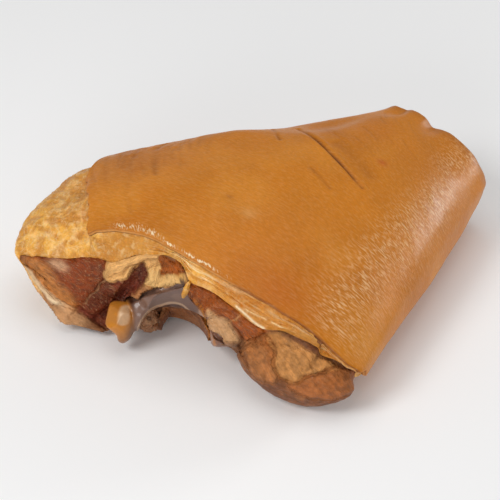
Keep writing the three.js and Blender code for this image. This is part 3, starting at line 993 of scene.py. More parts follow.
TENDON_FOLD = [(-12, 50.5), (-11.2, 45.5), (-14, 40.5)]
FRAGMENTS = [
    (-28.4, 32.1), (-23.2, 36.9), (-18.6, 37.2), (-16.2, 36.4), (-21.8, 31), (-26.5, 27.6), (-32.1, 23.5),
    (-30.5, 27.7),
]
RAGGED_RIM = [(-32.2, 22.6), (-24.1, 29.1), (-16.3, 35.1), (-8.5, 39.6), (-2.3, 44)]
SQUARE_MUSCLE = [
    (-11.6, 57.2), (-5.3, 56.8), (-1, 56.1), (-1.2, 53.2), (-4.6, 49.9), (-8.4, 50.4), (-11.9, 47.7),
    (-12.4, 51.8),
]
LIGHT_BY_SQUARE = [(-5.4, 49.6), (-1.6, 52.4), (1.5, 48.1), (0, 46.6), (-3.1, 47.9)]
DARK_BY_BAND = [(-2.3, 47.4), (0, 46.6), (0.1, 43.3), (-2.3, 42.7)]
WHITE_LINE = [(-53.2, 15), (-46.4, 24.1), (-40.6, 33)]
LOW_LEFT_PINK = [(-66.5, 8), (-55.1, 8.5), (-49, 5), (-47, 0.5), (-54.6, -3.5), (-67, -4), (-71, 1.5)]
LOW_LEFT_RIM = [(-84, 16), (-77, 8), (-72, 4), (-66, -1.5), (-60, -4)]
LOW_LEFT_DARK = [(-50, 4), (-44, 4.5), (-40.5, 1), (-47, -3), (-55, -4)]
RIGHT_MUSCLE = [
    (0.6, 45.5), (3, 48.5), (10.9, 49.3), (16.8, 46.5), (23.2, 43.9), (28.4, 40.1), (33.7, 37.1),
    (38, 35.3), (35, 30.6), (29.3, 26.9), (24.5, 32.1), (21, 35.3), (15.2, 34.1), (9, 34),
    (3, 39.5),
]
MUSCLE_SEPTUM = [(18.7, 32.2), (22.1, 34.4), (25.5, 39.6)]
AMBER_EDGE = [(4.2, 38.8), (7.2, 34.7), (9.3, 29.5), (11.4, 23.4), (13.8, 17.5)]
CAPSULE_LUMP = [
    (10.2, 36), (15.2, 34), (19.8, 34.1), (23.4, 28.9), (25.8, 25.9), (28.2, 22.8), (23.5, 20.1),
    (17.7, 18.9), (13.5, 19.8), (11.4, 27.1),
]
CAPSULE_FOLDS = [[(13.5, 31), (17, 27), (19, 21)], [(19, 32), (21.5, 27.5), (24.5, 23)]]
CAPSULE_FRAYED = [(15, 19.5), (20, 20.5), (26, 24), (29.5, 23), (28, 18.5), (22, 15.5), (16.5, 15.5)]
LOBE_CENTRE = [
    (40.1, 34.5), (47.4, 38.1), (53.1, 35.9), (58.9, 32.5), (65.7, 31.5), (74.2, 30.6), (69.9, 26.6),
    (61.6, 21.5), (57.8, 17.7), (54, 12.5), (48.8, 10.8), (44.7, 13.8), (42.8, 19.8), (43.8, 25.7),
    (40.8, 29.8),
]
LOBE_SEAM = [
    (39.5, 33.5), (43.5, 28.5), (42.8, 19.8), (44.7, 13.8), (47.1, 10.7), (54, 12.5), (58.4, 17.9),
    (64.5, 22.1), (70.4, 27.8), (75.3, 31.1),
]
LOBE_FOLDS = [
    [(50, 33), (54, 27), (56.5, 20)], [(46.5, 34), (48.5, 26), (48.5, 16)],
    [(57.5, 31), (60, 27), (62, 23)],
]
LOBE_DARK_TOP = [(48.6, 36.6), (53.1, 36.6), (58.3, 34.8), (62.9, 32.2)]
LOBE_LEFT = [
    (29.3, 25.4), (35, 29.3), (40.1, 32.9), (43.2, 26.1), (42.9, 16.4), (44.8, 10.4), (38.5, 5.4),
    (30.8, 10.2), (27.7, 16.5),
]
LOBE_LEFT_BAND = [(36.5, 30.5), (40.5, 32.5), (43, 26), (42.6, 17), (40, 18), (39.8, 25)]
LOBE_RED = [
    (58.4, 17.6), (65, 22), (71, 27.8), (77.6, 29.8), (82.4, 28.2), (82.3, 21.4), (77.8, 15.2),
    (68, 7.9), (59.4, 6.7), (50.7, 7.5), (54, 12.2),
]
GAP_UNDER_FAT = [(46.5, 39.6), (51.4, 38), (58.2, 37.1), (63.9, 36), (68.5, 33.4), (73.6, 31.3), (77.5, 31.7)]
SEAM_BY_LOBE = [(24.5, 32), (27.5, 27.5), (27, 20), (29.5, 12)]
NEAR_RIM = [
    (-31.5, 22.8), (-26.5, 26.5), (-20.2, 32.2), (-12.6, 37.1), (-5, 42), (-0.5, 44.5), (2.5, 38.9),
    (6, 35.9), (9.5, 32.3), (12, 27), (14.1, 20.3),
]
FAR_RIM = [
    (-26.4, 1), (-24.6, 12), (-20.4, 21.4), (-16.2, 26.7), (-12.6, 29.6), (-7.5, 33), (-2.5, 34),
    (1.5, 31.7), (5, 28.6), (7.5, 25.1), (9.6, 19),
]

BAND_FOOT = [(22, 14), (24, -20), (-60, -20), (-60, 22), (-38, 23.5)]
CARTILAGE_GLARE = [(6, 33), (8, 33.9), (10.5, 27), (9.1, 25.2)]

# Relief of the cut: shape, whether it is closed, rise in mm (under 0 is a cleft), softness in mm.
CUT_RELIEF = [
    (LEFT_MUSCLE, True, 1.6, 3),
    (SECOND_MUSCLE, True, 1.4, 2),
    (RIGHT_MUSCLE, True, 1.8, 1.6),
    (SQUARE_MUSCLE, True, 1.4, 0.9),
    (FAN, True, 1.2, 1.1),
    (TENDON, True, 1.6, 1.2),
    (FRAGMENTS, True, 1, 1.5),
    (CAPSULE_LUMP, True, 1.5, 2.2),
    (LOBE_CENTRE, True, -0.6, 1.6),
    (CREVICE, False, -3.2, 2.2),
    (CREVICE_LOW, False, -2.5, 2),
    (DARK_TONGUE, True, -1.8, 1.2),
    (WHITE_LINE, False, -0.8, 0.8),
    (LEFT_RIM_COLOUR[1][0], True, 1.3, 1.2),
    (LEFT_RIM_COLOUR[2][0], True, 0.7, 1),
    (MUSCLE_FOOT, False, -0.8, 0.9),
    (FAN_TOP, False, -0.9, 0.6),
    (TENDON_FOLD, False, -0.9, 0.7),
    (MUSCLE_SEPTUM, False, -0.7, 0.7),
    (LOBE_SEAM, False, -1.1, 0.9),
    (SEAM_BY_LOBE, False, -1.2, 1.1),
    (GAP_UNDER_FAT, False, -2, 1.3),
    (RAGGED_RIM, False, 0.9, 1),
    (AMBER_EDGE, False, 0.5, 0.9),
] + [(fold, False, -0.6, 0.6) for fold in FAN_FOLDS + CAPSULE_FOLDS + LOBE_FOLDS]
# Colour of the cut, in the order it is laid on: shape, closed, softness, colour, share, fibre, wetness, and
# the way the fibres run, in degrees up from the right.
CUT_COLOUR = [
    (LOW_LEFT_PINK, True, 1.5, 0xBC8A5E, 0.9, 0.5, 0.3, -15),
    (LOW_LEFT_DARK, True, 1.5, 0x7A4A2C, 0.8, 0.4, 0.6, -15),
    (LEFT_MUSCLE, True, 0.8, 0x803204, 1, 0.9, 0.75, -20),
    (LEFT_MUSCLE_PALE, True, 3.5, 0xBC7638, 0.9, 1, 0.6, -20),
    (LEFT_GLARE, True, 2.5, 0xD8AC84, 0.6, 0.8, 1, -20),
    (SECOND_MUSCLE, True, 0.8, 0x642204, 1, 0.8, 0.8, -20),
    (FAN, True, 0.7, 0xDFA866, 1, 0.95, 0.45, 44),
    (TENDON, True, 0.7, 0xE8B874, 1, 0.5, 0.55, 80),
    (LIGHT_BY_SQUARE, True, 0.7, 0xDCA860, 1, 0.2, 0.5, 0),
    (FRAGMENTS, True, 1, 0xA86C3C, 0.8, 0.3, 0.7, 30),
    (SQUARE_MUSCLE, True, 0.6, 0xA2500C, 1, 0.7, 0.7, -60),
    (DARK_TONGUE, True, 0.8, 0x5A1E0C, 1, 0.6, 0.8, 50),
    (CREVICE, False, 2.3, 0x88402F, 0.9, 0.3, 0.9, 40),
    (CREVICE_LOW, False, 2, 0x6C281C, 0.85, 0.3, 0.9, 40),
    (RAGGED_RIM, False, 1.1, 0xB28058, 0.8, 0.2, 0.6, 30),
    (DARK_BY_BAND, True, 0.7, 0x4A3430, 0.9, 0.1, 0.8, 0),
    (WHITE_LINE, False, 0.45, 0xB88A62, 0.55, 0.2, 0.6, 50),
    (RIGHT_MUSCLE, True, 0.7, 0x96460A, 1, 1, 0.6, -39),
    (MUSCLE_SEPTUM, False, 0.6, 0xBC8450, 0.8, 0.3, 0.5, 60),
    (CAPSULE_LUMP, True, 1.3, 0xCE9C6C, 1, 0.4, 0.9, -60),
    (CAPSULE_FRAYED, True, 1, 0x7A4E34, 0.75, 0.4, 0.9, -30),
    (AMBER_EDGE, False, 0.8, 0xB8701E, 0.8, 0.1, 0.8, -60),
    (LOBE_LEFT, True, 2.5, 0xA46636, 1, 0.9, 0.3, -57),
    (LOBE_LEFT_BAND, True, 1.2, 0x9A5420, 0.6, 0.6, 0.4, -57),
    (LOBE_RED, True, 2, 0xA05C2C, 1, 0.5, 0.6, -40),
    (LOBE_CENTRE, True, 1.5, 0xBC8046, 1, 0.8, 0.35, -54),
    (LOBE_DARK_TOP, False, 1.4, 0x6E402A, 0.75, 0.5, 0.4, -20),
    (LOBE_SEAM, False, 0.6, 0x7C3E16, 0.7, 0.4, 0.5, 0),
    (SEAM_BY_LOBE, False, 0.9, 0x5A2E16, 0.7, 0.3, 0.7, 0),
    # painted shade in the gap under the fat
    (GAP_UNDER_FAT, False, 1, 0x4A2614, 0.75, 0.2, 0.4, 0),
] + [(fold, False, 0.45, 0xA8743C, 0.5, 0.4, 0.4, 45) for fold in FAN_FOLDS + CAPSULE_FOLDS + LOBE_FOLDS]
# Pushes on the meat: middle on the cut, radii in mm, and the move in mm across, along and up.
MEAT_MOVES = [
    ((-60, 0), (14, 8), (-0.8, -3.6, 0)),
    ((-4, 26), (10, 7), (0, 1.2, 3.2)),
    ((22, 13), (7, 6), (0, 1.2, 3.8)),
    ((13, 16), (4, 6), (-1.2, -0.6, 0)),
    ((-17, 9), (8, 6), (-0.4, 0, 4.6)),
    ((38, 0), (12, 8), (0.2, 0, 0.4)),
    ((62, -2), (14, 8), (0, -0.8, -0.4)),
    ((83, 19), (5, 8), (1.2, -1, 0)),
]


PULL_REACH = 5.5
BUNDLED = 0.5  # shapes with at least this much fibre have bundles in relief
# Where points of the cut are drawn to, on the cut. Pairs of the same point hold still.
CUT_PULLS = [
    ((-19.7, 34.1), (-19.7, 32.4)),
    ((-13.5, 40.7), (-13.6, 37.3)),
    ((-7.7, 45.7), (-7.5, 39.6)),
    ((-0.7, 50.2), (-0.8, 43.6)),
    ((7.4, 47), (2.2, 38.6)),
    ((13.4, 43), (8.6, 33.6)),
    ((14.3, 31.5), (11.4, 28.5)),
    ((-27, 30), (-27, 30)),
    ((-18, 45), (-18, 44)),
    ((-9, 54), (-9, 53)),
    ((22, 40), (22, 39.6)),
    ((20, 28), (20, 27.6)),
    ((-56.5, -3.4), (-56.5, -1.8)),
    ((-8.1, 18.8), (-10.8, 17.9)),
    ((33.8, 5.2), (34.9, 6.8)),
    ((26.6, 18.4), (25.4, 16.8)),
    ((-48, -2.6), (-48, -1.6)),
]


def pulled(u, v):
    """How far each point of the cut is drawn, across and up."""
    du, dv, total = 0.0, 0.0, 0.0
    for (au, av), (bu, bv) in CUT_PULLS:
        share = bell((u - au) / PULL_REACH, (v - av) / PULL_REACH)
        du, dv, total = du + share * (bu - au), dv + share * (bv - av), total + share
    total = np.maximum(total, 1)
    return du / total, dv / total


def turned(u, v, way):
    """Distances along and across a way on the cut, given in degrees up from the right."""
    c, s = math.cos(math.radians(way)), math.sin(math.radians(way))
    return u * c + v * s, v * c - u * s


def to_eye(limb):
    return (EYE - limb) / np.linalg.norm(EYE - limb, axis=1)[:, None]


def copy_of(node_name, name):
    """A merged copy of one of the part's solids."""
    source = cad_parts[node_name]
    obj = source.copy()
    obj.data = source.data.copy()
    obj.name = obj.data.name = name
    for key in [k for k in obj.keys() if k.startswith("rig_")]:
        del obj[key]
    obj.parent = None
    bpy.context.scene.collection.objects.link(obj)
    merge_close(obj, 0.00001)
    return obj


def follow_fat(limb):
    """Moves the meat's outer part with the inner side of the fat, where scene and solid differ."""
    degrees = np.arange(0, 360, 1.0)
    ys = np.concatenate([np.arange(-6, 37, 1.5), np.arange(104, 162, 2.0)])
    theta, y = np.meshgrid(np.radians(degrees), ys, indexing="ij")
    thinning = mix(1, ANKLE_THINNING, np.clip(y / LENGTH, 0, 1))
    bare = smooth(12, 20, around(FAT_EDGE, theta)) * smooth(1, -1, y - around(FAT_EDGE, theta))
    old_depth = mix(around(SOLID_FAT_DEPTH, theta) * thinning, MEAT_OVERLAP, bare)
    new_depth = mix(fat_depth(theta, y) - MEAT_OVERLAP, MEAT_OVERLAP, bare)
    old = limb_point(theta, y, old_depth).reshape(-1, 3)
    new = skin_point(theta, y, new_depth).reshape(-1, 3)
    tree = KDTree(len(old))
    for i, spot in enumerate(old):
        tree.insert(spot, i)
    tree.balance()
    near = np.nonzero((limb[:, 1] < 34) | (limb[:, 1] > 106))[0]
    found = np.array([[(i, d) for _, i, d in tree.find_n(limb[k], 5)] for k in near])
    which, gap = found[..., 0].astype(int), found[..., 0, 1]
    weight = 1 / (found[..., 1] + 0.5)
    shift = ((new - old)[which] * (weight / weight.sum(1)[:, None])[..., None]).sum(1)
    share = smooth(15, 1, gap) * np.maximum(smooth(34, 16, limb[near, 1]), smooth(108, 128, limb[near, 1]))
    moved = limb.copy()
    moved[near] += shift * share[:, None]
    return moved


def cut_relief(limb, normal):
    """How far the face of the cut stands up from the smoothed solid, in mm."""
    u, v = on_cut(limb)
    u, v = u + 0.6 * grain(limb, 4, 61), v + 0.6 * grain(limb, 4, 62)
    raise_by = 0.3 * grain(limb, 5, 63, 2)
    for shape, closed, rise, soft in CUT_RELIEF:
        raise_by = raise_by + rise * (patch(shape, u, v, soft) if closed else stroke(shape, u, v, soft))
    for shape, closed, _, _, _, fibre, _, way in CUT_COLOUR:
        if closed and fibre >= BUNDLED:
            bundles = grain(np.stack([*turned(u, v, way), limb[:, 1] * 0.3], -1), (11, 1.6, 6), 69, 2)
            raise_by = raise_by + 0.28 * fibre * bundles * patch(shape, u, v, 1.0)
    # Nothing rises where the fat lies over it.
    clear = smooth(-0.5, 1.2, np.interp(u, *np.transpose(FAT_LIP)) - v)
    raise_by = np.where(raise_by > 0, raise_by * clear, raise_by)
    ragged = smooth(3.5, 0.5, reach_of(NEAR_RIM, u, v)) * 0.8 * grain(limb, 1.8, 70, 2)
    front = smooth(18, 9, limb[:, 1]) * smooth(0.1, 0.45, normal @ (EYE / np.linalg.norm(EYE)))
    return (raise_by + ragged) * front


def build_meat():
    obj = copy_of("meat", "meat_muscles")
    finish_with(obj, "REMESH", mode="VOXEL", voxel_size=MEAT_VOXEL)
    limb = to_limb(points_of(obj))
    hidden = smooth(18, 26, limb[:, 1]) * smooth(LENGTH - 5, LENGTH - 9, limb[:, 1])
    finish_part(obj, hidden > 0.5, "DECIMATE", ratio=0.33)
    finish_with(obj, "SMOOTH", factor=0.5, iterations=3)
    limb = follow_fat(to_limb(points_of(obj)))
    u, v = on_cut(limb)
    ahead = smooth(26, 14, limb[:, 1])[:, None]
    for (mu, mv), (ru, rv), move in MEAT_MOVES:
        limb += bell((u - mu) / ru, (v - mv) / rv)[:, None] * ahead * np.array(move)
    du, dv = pulled(*on_cut(limb))
    limb += np.stack([du, -0.12 * np.hypot(du, dv), dv], -1) * ahead
    limb = move_limb(obj, limb)
    normal = normals_of(obj)
    limb += mix(normal, to_eye(limb), 0.4) * cut_relief(limb, normal)[:, None]
    limb[:, 1] += 0.5 * grain(limb, 5, 64, 2) * smooth(LENGTH - 3, LENGTH - 1, limb[:, 1])
    move_limb(obj, limb)
    finish_with(obj, "SMOOTH", factor=0.35, iterations=1)
    limb = to_limb(points_of(obj))
    at_rim = (reach_of(LOW_LEFT_RIM, *on_cut(limb)) < 3.5) & (limb[:, 1] < 25)
    finish_part(obj, at_rim, "SMOOTH", factor=0.5, iterations=14)
    paint_meat(obj)
    shade(obj, meat_material(), "meat", "meat")


def paint_meat(obj):
    limb = to_limb(points_of(obj))
    u, v = on_cut(limb)
    u = u + 0.6 * grain(limb, 4, 61) + 0.3 * grain(limb, 1.5, 65)
    v = v + 0.6 * grain(limb, 4, 62) + 0.3 * grain(limb, 1.5, 66)
    colour = tint(
        np.tile(paint(0x84502E), (len(limb), 1)),
        (0x6A3A22, 0.7 * smooth(-0.2, 0.6, grain(limb, 8, 67, 2))),
        (0xA8744E, 0.5 * smooth(0.2, 0.8, grain(limb, 9, 68, 2))),
    )
    fibre, wet = np.full(len(limb), 0.5), np.full(len(limb), 0.4)
    lay = np.stack([u, v, limb[:, 1]], -1)
    facing = np.einsum("ij,ij->i", normals_of(obj), to_eye(limb))
    at_cut = smooth(24, 16, limb[:, 1]) * smooth(-0.35, 0.0, facing)
    for shape, soft, code, share in LEFT_RIM_COLOUR:
        cover = share * at_cut * patch(shape, u, v, soft)
        colour = tint(colour, (code, cover))
        fibre, wet = mix(fibre, 0.15, cover), mix(wet, 0.5, cover)
    for shape, closed, soft, code, share, fibres, wetness, way in CUT_COLOUR:
        # Closed shapes reach a little past their edge, so that no gap shows between two of them.
        inside = smooth(-soft, soft, reach_of(shape, u, v, True) + 0.6) if closed else stroke(shape, u, v, soft)
        cover = inside * share * at_cut
        colour = tint(colour, (code, cover))
        fibre, wet = mix(fibre, fibres, cover), mix(wet, wetness, cover)
        if closed:
            lay = np.where((cover > 0.5)[:, None], np.stack([*turned(u, v, way), limb[:, 1]], -1), lay)
    calm = one_way(obj, limb, lay)
    fibre, wet = fibre * calm, wet * mix(0.25, 1, calm)
    # Thin pale seams run between the bundles of the muscles.
    seams = smooth(0.1, 0.0, np.abs(grain(lay, (22, 3.4, 12), 75, 2))) * fibre * at_cut
    colour = tint(colour, (0xB07840, 0.22 * seams))
    # Pale tissue is calmer than the muscles.
    spots = grain(limb, 2.0, 91, 2) * mix(1, 0.3, smooth(0.16, 0.36, colour[:, 1]))
    colour = paint_ankle(limb, colour * (1 + 0.3 * at_cut * spots)[:, None])
    write_colour(obj, "tissue", colour)
    write_colour(obj, "finish", np.stack([fibre, wet, 0 * wet], -1))
    write_colour(obj, "lay", lay / LAY_SPAN + 0.5)


def one_way(obj, limb, lay):
    """0 where the way of the fibres jumps between neighbouring points, 1 elsewhere."""
    ends = np.empty(len(obj.data.edges) * 2, dtype=np.int32)
    obj.data.edges.foreach_get("vertices", ends)
    a, b = ends.reshape(-1, 2).T
    jump = np.linalg.norm(lay[a] - lay[b], axis=1) > 2.5 * np.linalg.norm(limb[a] - limb[b], axis=1) + 0.2
    calm = np.ones(len(limb))
    calm[a[jump]] = calm[b[jump]] = 0
    return calm


# The cut at the ankle: round tendons (across, up, size) and pale seams, in mm.
ANKLE_TENDONS = [(46, 37, 2.8), (61, 31, 2.2), (25, 19, 2.4), (31, 38, 1.8), (58, 12, 2.4), (66, 21, 1.5)]
ANKLE_SEAMS = [
    [(20, 30), (26, 31), (32, 28)], [(38, 45), (38, 39), (40, 34)], [(30, 6), (34, 10), (37, 14)],
    [(54, 26), (61, 25), (68, 28)], [(49, 12), (52, 7), (51, 3)], [(54, 40), (53, 34), (51, 30)],
]


def paint_ankle(limb, colour):
    ankle = smooth(LENGTH - 8, LENGTH - 3, limb[:, 1])
    for x, z, size in ANKLE_TENDONS:
        d = np.hypot(limb[:, 0] - x, (limb[:, 2] - z) * 1.3) / size + 0.12 * grain(limb, 1.6, 76, 2)
        colour = tint(
            colour, (0x5E3420, 0.6 * ankle * bell((d - 1.15) / 0.2)), (0xD2A874, 0.85 * ankle * smooth(1.1, 0.85, d))
        )
    for path in ANKLE_SEAMS:
        line = stroke(path, limb[:, 0] + 0.6 * grain(limb, 3, 92), limb[:, 2] + 0.6 * grain(limb, 3, 93), 0.55)
        colour = tint(colour, (0xC49468, 0.7 * ankle * line))
    return colour * (1 + 0.3 * ankle * grain(limb, (2, 6, 2), 94, 2))[:, None]


# ---- Bone and joint cartilage ----
KNOB_AT = np.array([-32.0, -3.6, 16.2])
KNOB_RADII = np.array([6.2, 6.8, 7.0])
KNOB_TURN = 0.3
# Flat sides of the knob: the way each one faces, and how far out it lies in mm.
KNOB_FACETS = [
    ((-0.30, -0.72, 0.62), 5.6), ((0.72, -0.62, 0.32), 6.2), ((-0.86, -0.42, 0.30), 6.2), ((-0.62, -0.3, -0.72), 7.0),
]
KNOB_GLARE = [(-35.6, 9.8), (-33.6, 19.8), (-29.1, 22.2), (-30.2, 12.1)]
RIM_SHADE = [(a + 0.2, b - 1.3) for a, b in FAR_RIM]


def build_bone():
    obj = copy_of("bone", "joint_bone")
    finish_with(obj, "REMESH", mode="VOXEL", voxel_size=BONE_VOXEL)
    finish_with(obj, "SMOOTH", factor=0.5, iterations=14)
    limb, knob = square_off_knob(to_limb(points_of(obj)))
    move_to(obj, to_frame(limb))
    finish_with(obj, "SMOOTH", factor=0.5, iterations=3)
    limb = to_limb(points_of(obj))
    u, v = on_cut(limb)
    at_joint, towards = smooth(24, 18, limb[:, 1]), to_eye(limb)
    beyond = patch(FAR_RIM + [(9.6, -20), (-26.4, -20)], u, v, 0.7) * at_joint
    rim = stroke(FAR_RIM, u, v, 0.7) * at_joint
    # Under the muscles the bone steps back.
    of_knob = smooth(1.6, 1.2, np.linalg.norm((limb - KNOB_AT) / KNOB_RADII, axis=1))
    covered = (1 - patch(NEAR_RIM + BAND_FOOT, u, v, 0.8)) * at_joint * (1 - of_knob)
    limb -= 3.2 * covered[:, None] * towards
    limb += bell((u - 18) / 6.5, (v - 15) / 5)[:, None] * np.array([0, 0.6, 2.4])
    limb += towards * (0.3 * rim - 1.4 * beyond + 0.7 * beyond * grain(limb, 2.4, 72, 2))[:, None]
    limb += 0.14 * grain(limb, 6, 71, 2)[:, None] * towards
    limb = move_limb(obj, limb)
    colour, marrow, shaft = paint_bone(limb, knob, beyond)
    limb[:, 1] -= 1.1 * marrow * (1 + 0.4 * grain(limb, 2, 79, 2))
    move_limb(obj, limb)
    write_colour(obj, "tissue", colour)
    write_colour(obj, "finish", np.stack([0.4 * shaft + 0.9 * marrow, 0.9 - shaft * 0.6, beyond], -1))
    shade(obj, bone_material(), "bone", "bone")


def paint_bone(limb, knob, beyond):
    u, v = on_cut(limb)
    at_joint, shaft = smooth(24, 18, limb[:, 1]), smooth(24, 34, limb[:, 1])
    behind = smooth(-25.5, -28, u) * smooth(16, 8, limb[:, 1]) * (1 - knob)
    knob = knob * smooth(-25.2, -26.8, u + 0.4 * grain(limb, 3, 74))
    # The sawn end has marrow in its middle.
    sawn = smooth(LENGTH - 2.2, LENGTH - 1.2, limb[:, 1])
    face = limb[limb[:, 1] > LENGTH - 1][:, (0, 2)]
    middle, half = (face.max(0) + face.min(0)) / 2, (face.max(0) - face.min(0)) / 2
    spread = np.hypot((limb[:, 0] - middle[0]) / half[0], (limb[:, 2] - middle[1]) / half[1])
    marrow = sawn * smooth(0.6, 0.5, spread + 0.05 * grain(limb, 3, 78, 2))
    colour = tint(
        np.tile(paint(0x78594A), (len(limb), 1)),
        (0x8C6C58, 0.6 * smooth(0, 0.7, grain(limb, 5, 73, 2))),
        (0x5E4038, 0.5 * smooth(-14, 6, u)),
        (0x8A5230, 0.45 * smooth(4, 10, u)),
        (0x6A4230, 0.95 * beyond),
        (0x9A6A4C, 0.6 * beyond * smooth(0.1, 0.6, grain(limb, 2.6, 80, 2))),
        (0x3E241A, 0.8 * stroke(RIM_SHADE, u, v, 0.7) * at_joint),
        # painted highlight along the far rim
        (0xC8A484, 0.9 * smooth(0.75, 0.35, reach_of(FAR_RIM, u, v)) * at_joint),
        (0xB8701E, 0.8 * stroke(AMBER_EDGE, u, v, 0.9) * at_joint),
        (0xC09C84, 0.65 * patch(CARTILAGE_GLARE, u, v, 0.6) * at_joint),
        (0x4A2A1C, behind),
        (0xC0781C, knob),
        (0x95602E, knob * 0.4 * smooth(14, 17, v) * smooth(-33, -36, u)),
        (0xD8B894, knob * 0.85 * patch(KNOB_GLARE, u, v, 0.8)),
        (0xA87038, knob * 0.4 * smooth(0.1, 0.8, grain(limb, 4, 77))),
        (0xC9AE88, shaft),
        (0xDDBC88, sawn),
        (0xC49A66, 0.6 * sawn * smooth(0.1, 0.7, grain(limb, 1.5, 95, 2))),
        (0x8E4A2C, 0.85 * marrow),
    )
    return colour, marrow, shaft


def square_off_knob(limb):
    """The knob is a blunt block with flat sides. Also gives how much each point belongs to it."""
    c, s = math.cos(KNOB_TURN), math.sin(KNOB_TURN)
    x, y, z = (limb - KNOB_AT).T
    q = np.stack([x * c + y * s, y * c - x * s, z], -1) / KNOB_RADII
    reach = np.sqrt(q[:, 0] ** 2 + q[:, 1] ** 2 + (q[:, 2] * np.where(q[:, 2] < 0, 0.66, 1)) ** 2)
    block = np.sum(np.abs(q) ** 4, axis=1) ** 0.25
    near = smooth(1.5, 1.05, reach) * smooth(-23, -28, limb[:, 0])
    wanted = q / np.maximum(block, 1e-6)[:, None]
    # It narrows towards its foot, most on the left.
    foot = smooth(0.2, -1.0, wanted[:, 2])
    wanted[:, 0] = wanted[:, 0] * mix(1, 0.55, foot) + 0.38 * foot
    wanted[:, 1] = wanted[:, 1] * mix(1, 0.75, foot)
    x, y, z = (wanted * KNOB_RADII).T
    spot = np.stack([x * c - y * s, x * s + y * c, z], -1)
    for way, stop in KNOB_FACETS:
        way = np.array(way) / np.linalg.norm(way)
        spot -= np.maximum(spot @ way - stop, 0)[:, None] * way
    return mix(limb, spot + KNOB_AT, near[:, None]), near


# ---- Small torn pieces at the joint ----
def lump(name, at, radii, turn, size, height, seed, levels):
    """A small lumpy piece of tissue, from a ball."""
    deselect()
    bpy.ops.mesh.primitive_ico_sphere_add(subdivisions=levels, radius=1.0)
    obj = bpy.context.object
    obj.name = obj.data.name = name
    ball = points_of(obj)
    (ca, cb), (sa, sb) = np.cos(turn), np.sin(turn)
    x, y, z = (ball * np.array(radii)).T
    x, z = x * ca - z * sa, x * sa + z * ca
    limb = np.stack([x * cb - y * sb, x * sb + y * cb, z], -1) + np.array(at)
    out = ball / np.array(radii)
    out /= np.linalg.norm(out, axis=1)[:, None]
    rough = curled(limb, size, seed) - 0.5 + 0.5 * grain(limb, size * 2, seed + 5, 2)
    return obj, move_limb(obj, limb + out * (height * rough)[:, None])


def build_torn_meat():
    """The torn meat that hangs inside the hollow."""
    obj, limb = lump("torn_meat", (-25.4, 6.8, 14.2), (5.8, 5.5, 9.6), (0.45, 0.2), 2.6, 0.9, 81, 6)
    colour = tint(
        np.tile(paint(0x8C6044), (len(limb), 1)),
        (0x50301E, 0.8 * smooth(0.1, 0.6, grain(limb, 3, 82, 2))),
        (0xA87C58, 0.6 * smooth(0.1, 0.7, grain(limb, 2.4, 83, 2))),
    )
    write_colour(obj, "tissue", colour)
    write_colour(obj, "finish", np.tile([0.7, 0.8, 0.0], (len(limb), 1)))
    u, v = on_cut(limb)
    write_colour(obj, "lay", np.stack([u * 0.65 + v * 0.76, v * 0.65 - u * 0.76, limb[:, 1]], -1) / LAY_SPAN + 0.5)
    shade(obj, bpy.data.materials["smoked_meat"], "meat", "meat")


def build_fat_bead():
    """A bead of yellow fat between the right muscle and the cartilage."""
    obj, limb = lump("fat_bead", (0.6, -0.9, 44.4), (1.3, 2.2, 5.4), (-0.3, 0.0), 3.0, 0.25, 86, 5)
    colour = np.tile(paint(0xDE9E3E), (len(limb), 1))
    write_colour(obj, "tissue", tint(colour, (0xC88428, 0.7 * smooth(0.0, 0.6, grain(limb, 2, 87)))))
    write_colour(obj, "finish", np.tile([0.1, 0.0, 0.0], (len(limb), 1)))
    shade(obj, bpy.data.materials["smoked_fat"], "rind_and_fat", "rind_and_fat")


build_rind()
build_fat()
build_meat()
build_bone()
build_torn_meat()
build_fat_bead()


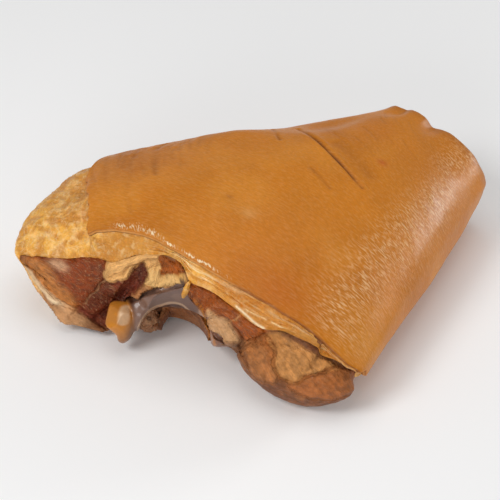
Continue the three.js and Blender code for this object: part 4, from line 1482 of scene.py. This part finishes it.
# ---- Floor, light and camera ----
def build_floor():
    deselect()
    bpy.ops.mesh.primitive_plane_add(size=6.0, location=(0, 0, -0.0002))
    floor = bpy.context.object
    floor.name = "floor"
    material = bpy.data.materials.new("pale_floor")
    material.use_nodes = True
    shader = material.node_tree.nodes["Principled BSDF"]
    shader.inputs["Base Color"].default_value = (0.94, 0.94, 0.94, 1)
    shader.inputs["Roughness"].default_value = 0.7
    floor.data.materials.append(material)


def softbox(name, place, aim, size, watts):
    data = bpy.data.lights.new(name, "AREA")
    data.shape = "RECTANGLE"
    data.size, data.size_y = size
    data.energy = watts
    lamp = bpy.data.objects.new(name, data)
    bpy.context.scene.collection.objects.link(lamp)
    lamp.location = place
    lamp.rotation_euler = (Vector(aim) - Vector(place)).to_track_quat("-Z", "Y").to_euler()


def build_light():
    world = bpy.data.worlds.new("studio")
    world.use_nodes = True
    background = world.node_tree.nodes["Background"]
    background.inputs["Color"].default_value = (1, 1, 1, 1)
    background.inputs["Strength"].default_value = 0.32
    bpy.context.scene.world = world
    softbox("key", (-0.35, -0.75, 0.9), (0, -0.03, 0.03), (0.5, 0.4), 5.4)
    softbox("front", (0.25, -1.1, 0.42), (0, -0.05, 0.03), (0.6, 0.35), 3.4)
    softbox("rim", (0.74, 0.96, 0.3), (0.03, 0, 0.03), (0.45, 0.25), 5.0)
    softbox("top", (0.0, 0.1, 1.2), (0, 0, 0), (0.9, 0.9), 3.4)


# The photo's axis: the way it looks, and its right and up, with the picture's middle in pixels from that axis.
AHEAD = Vector((-0.3716, 0.6436, -0.6691))
RIGHTWARD = Vector((0.866, 0.5, 0))
UPWARD = Vector((-0.33455, 0.57944, 0.74316))
FOCAL_PIXELS, MIDDLE_RIGHT, MIDDLE_UP = 2250, 65, 113


def build_camera():
    """The eye stands where the cut's regions were drawn from."""
    data = bpy.data.cameras.new("camera")
    data.lens = 162.0
    data.sensor_width = 36.0
    data.clip_start, data.clip_end = 0.05, 20
    camera = bpy.data.objects.new("camera", data)
    bpy.context.scene.collection.objects.link(camera)
    camera.location = Vector(to_frame(EYE))
    look = AHEAD * FOCAL_PIXELS + RIGHTWARD * MIDDLE_RIGHT + UPWARD * MIDDLE_UP
    camera.rotation_euler = look.to_track_quat("-Z", "Y").to_euler()
    bpy.context.scene.camera = camera


build_floor()
build_light()
build_camera()
bpy.context.scene.view_settings.view_transform = "Standard"
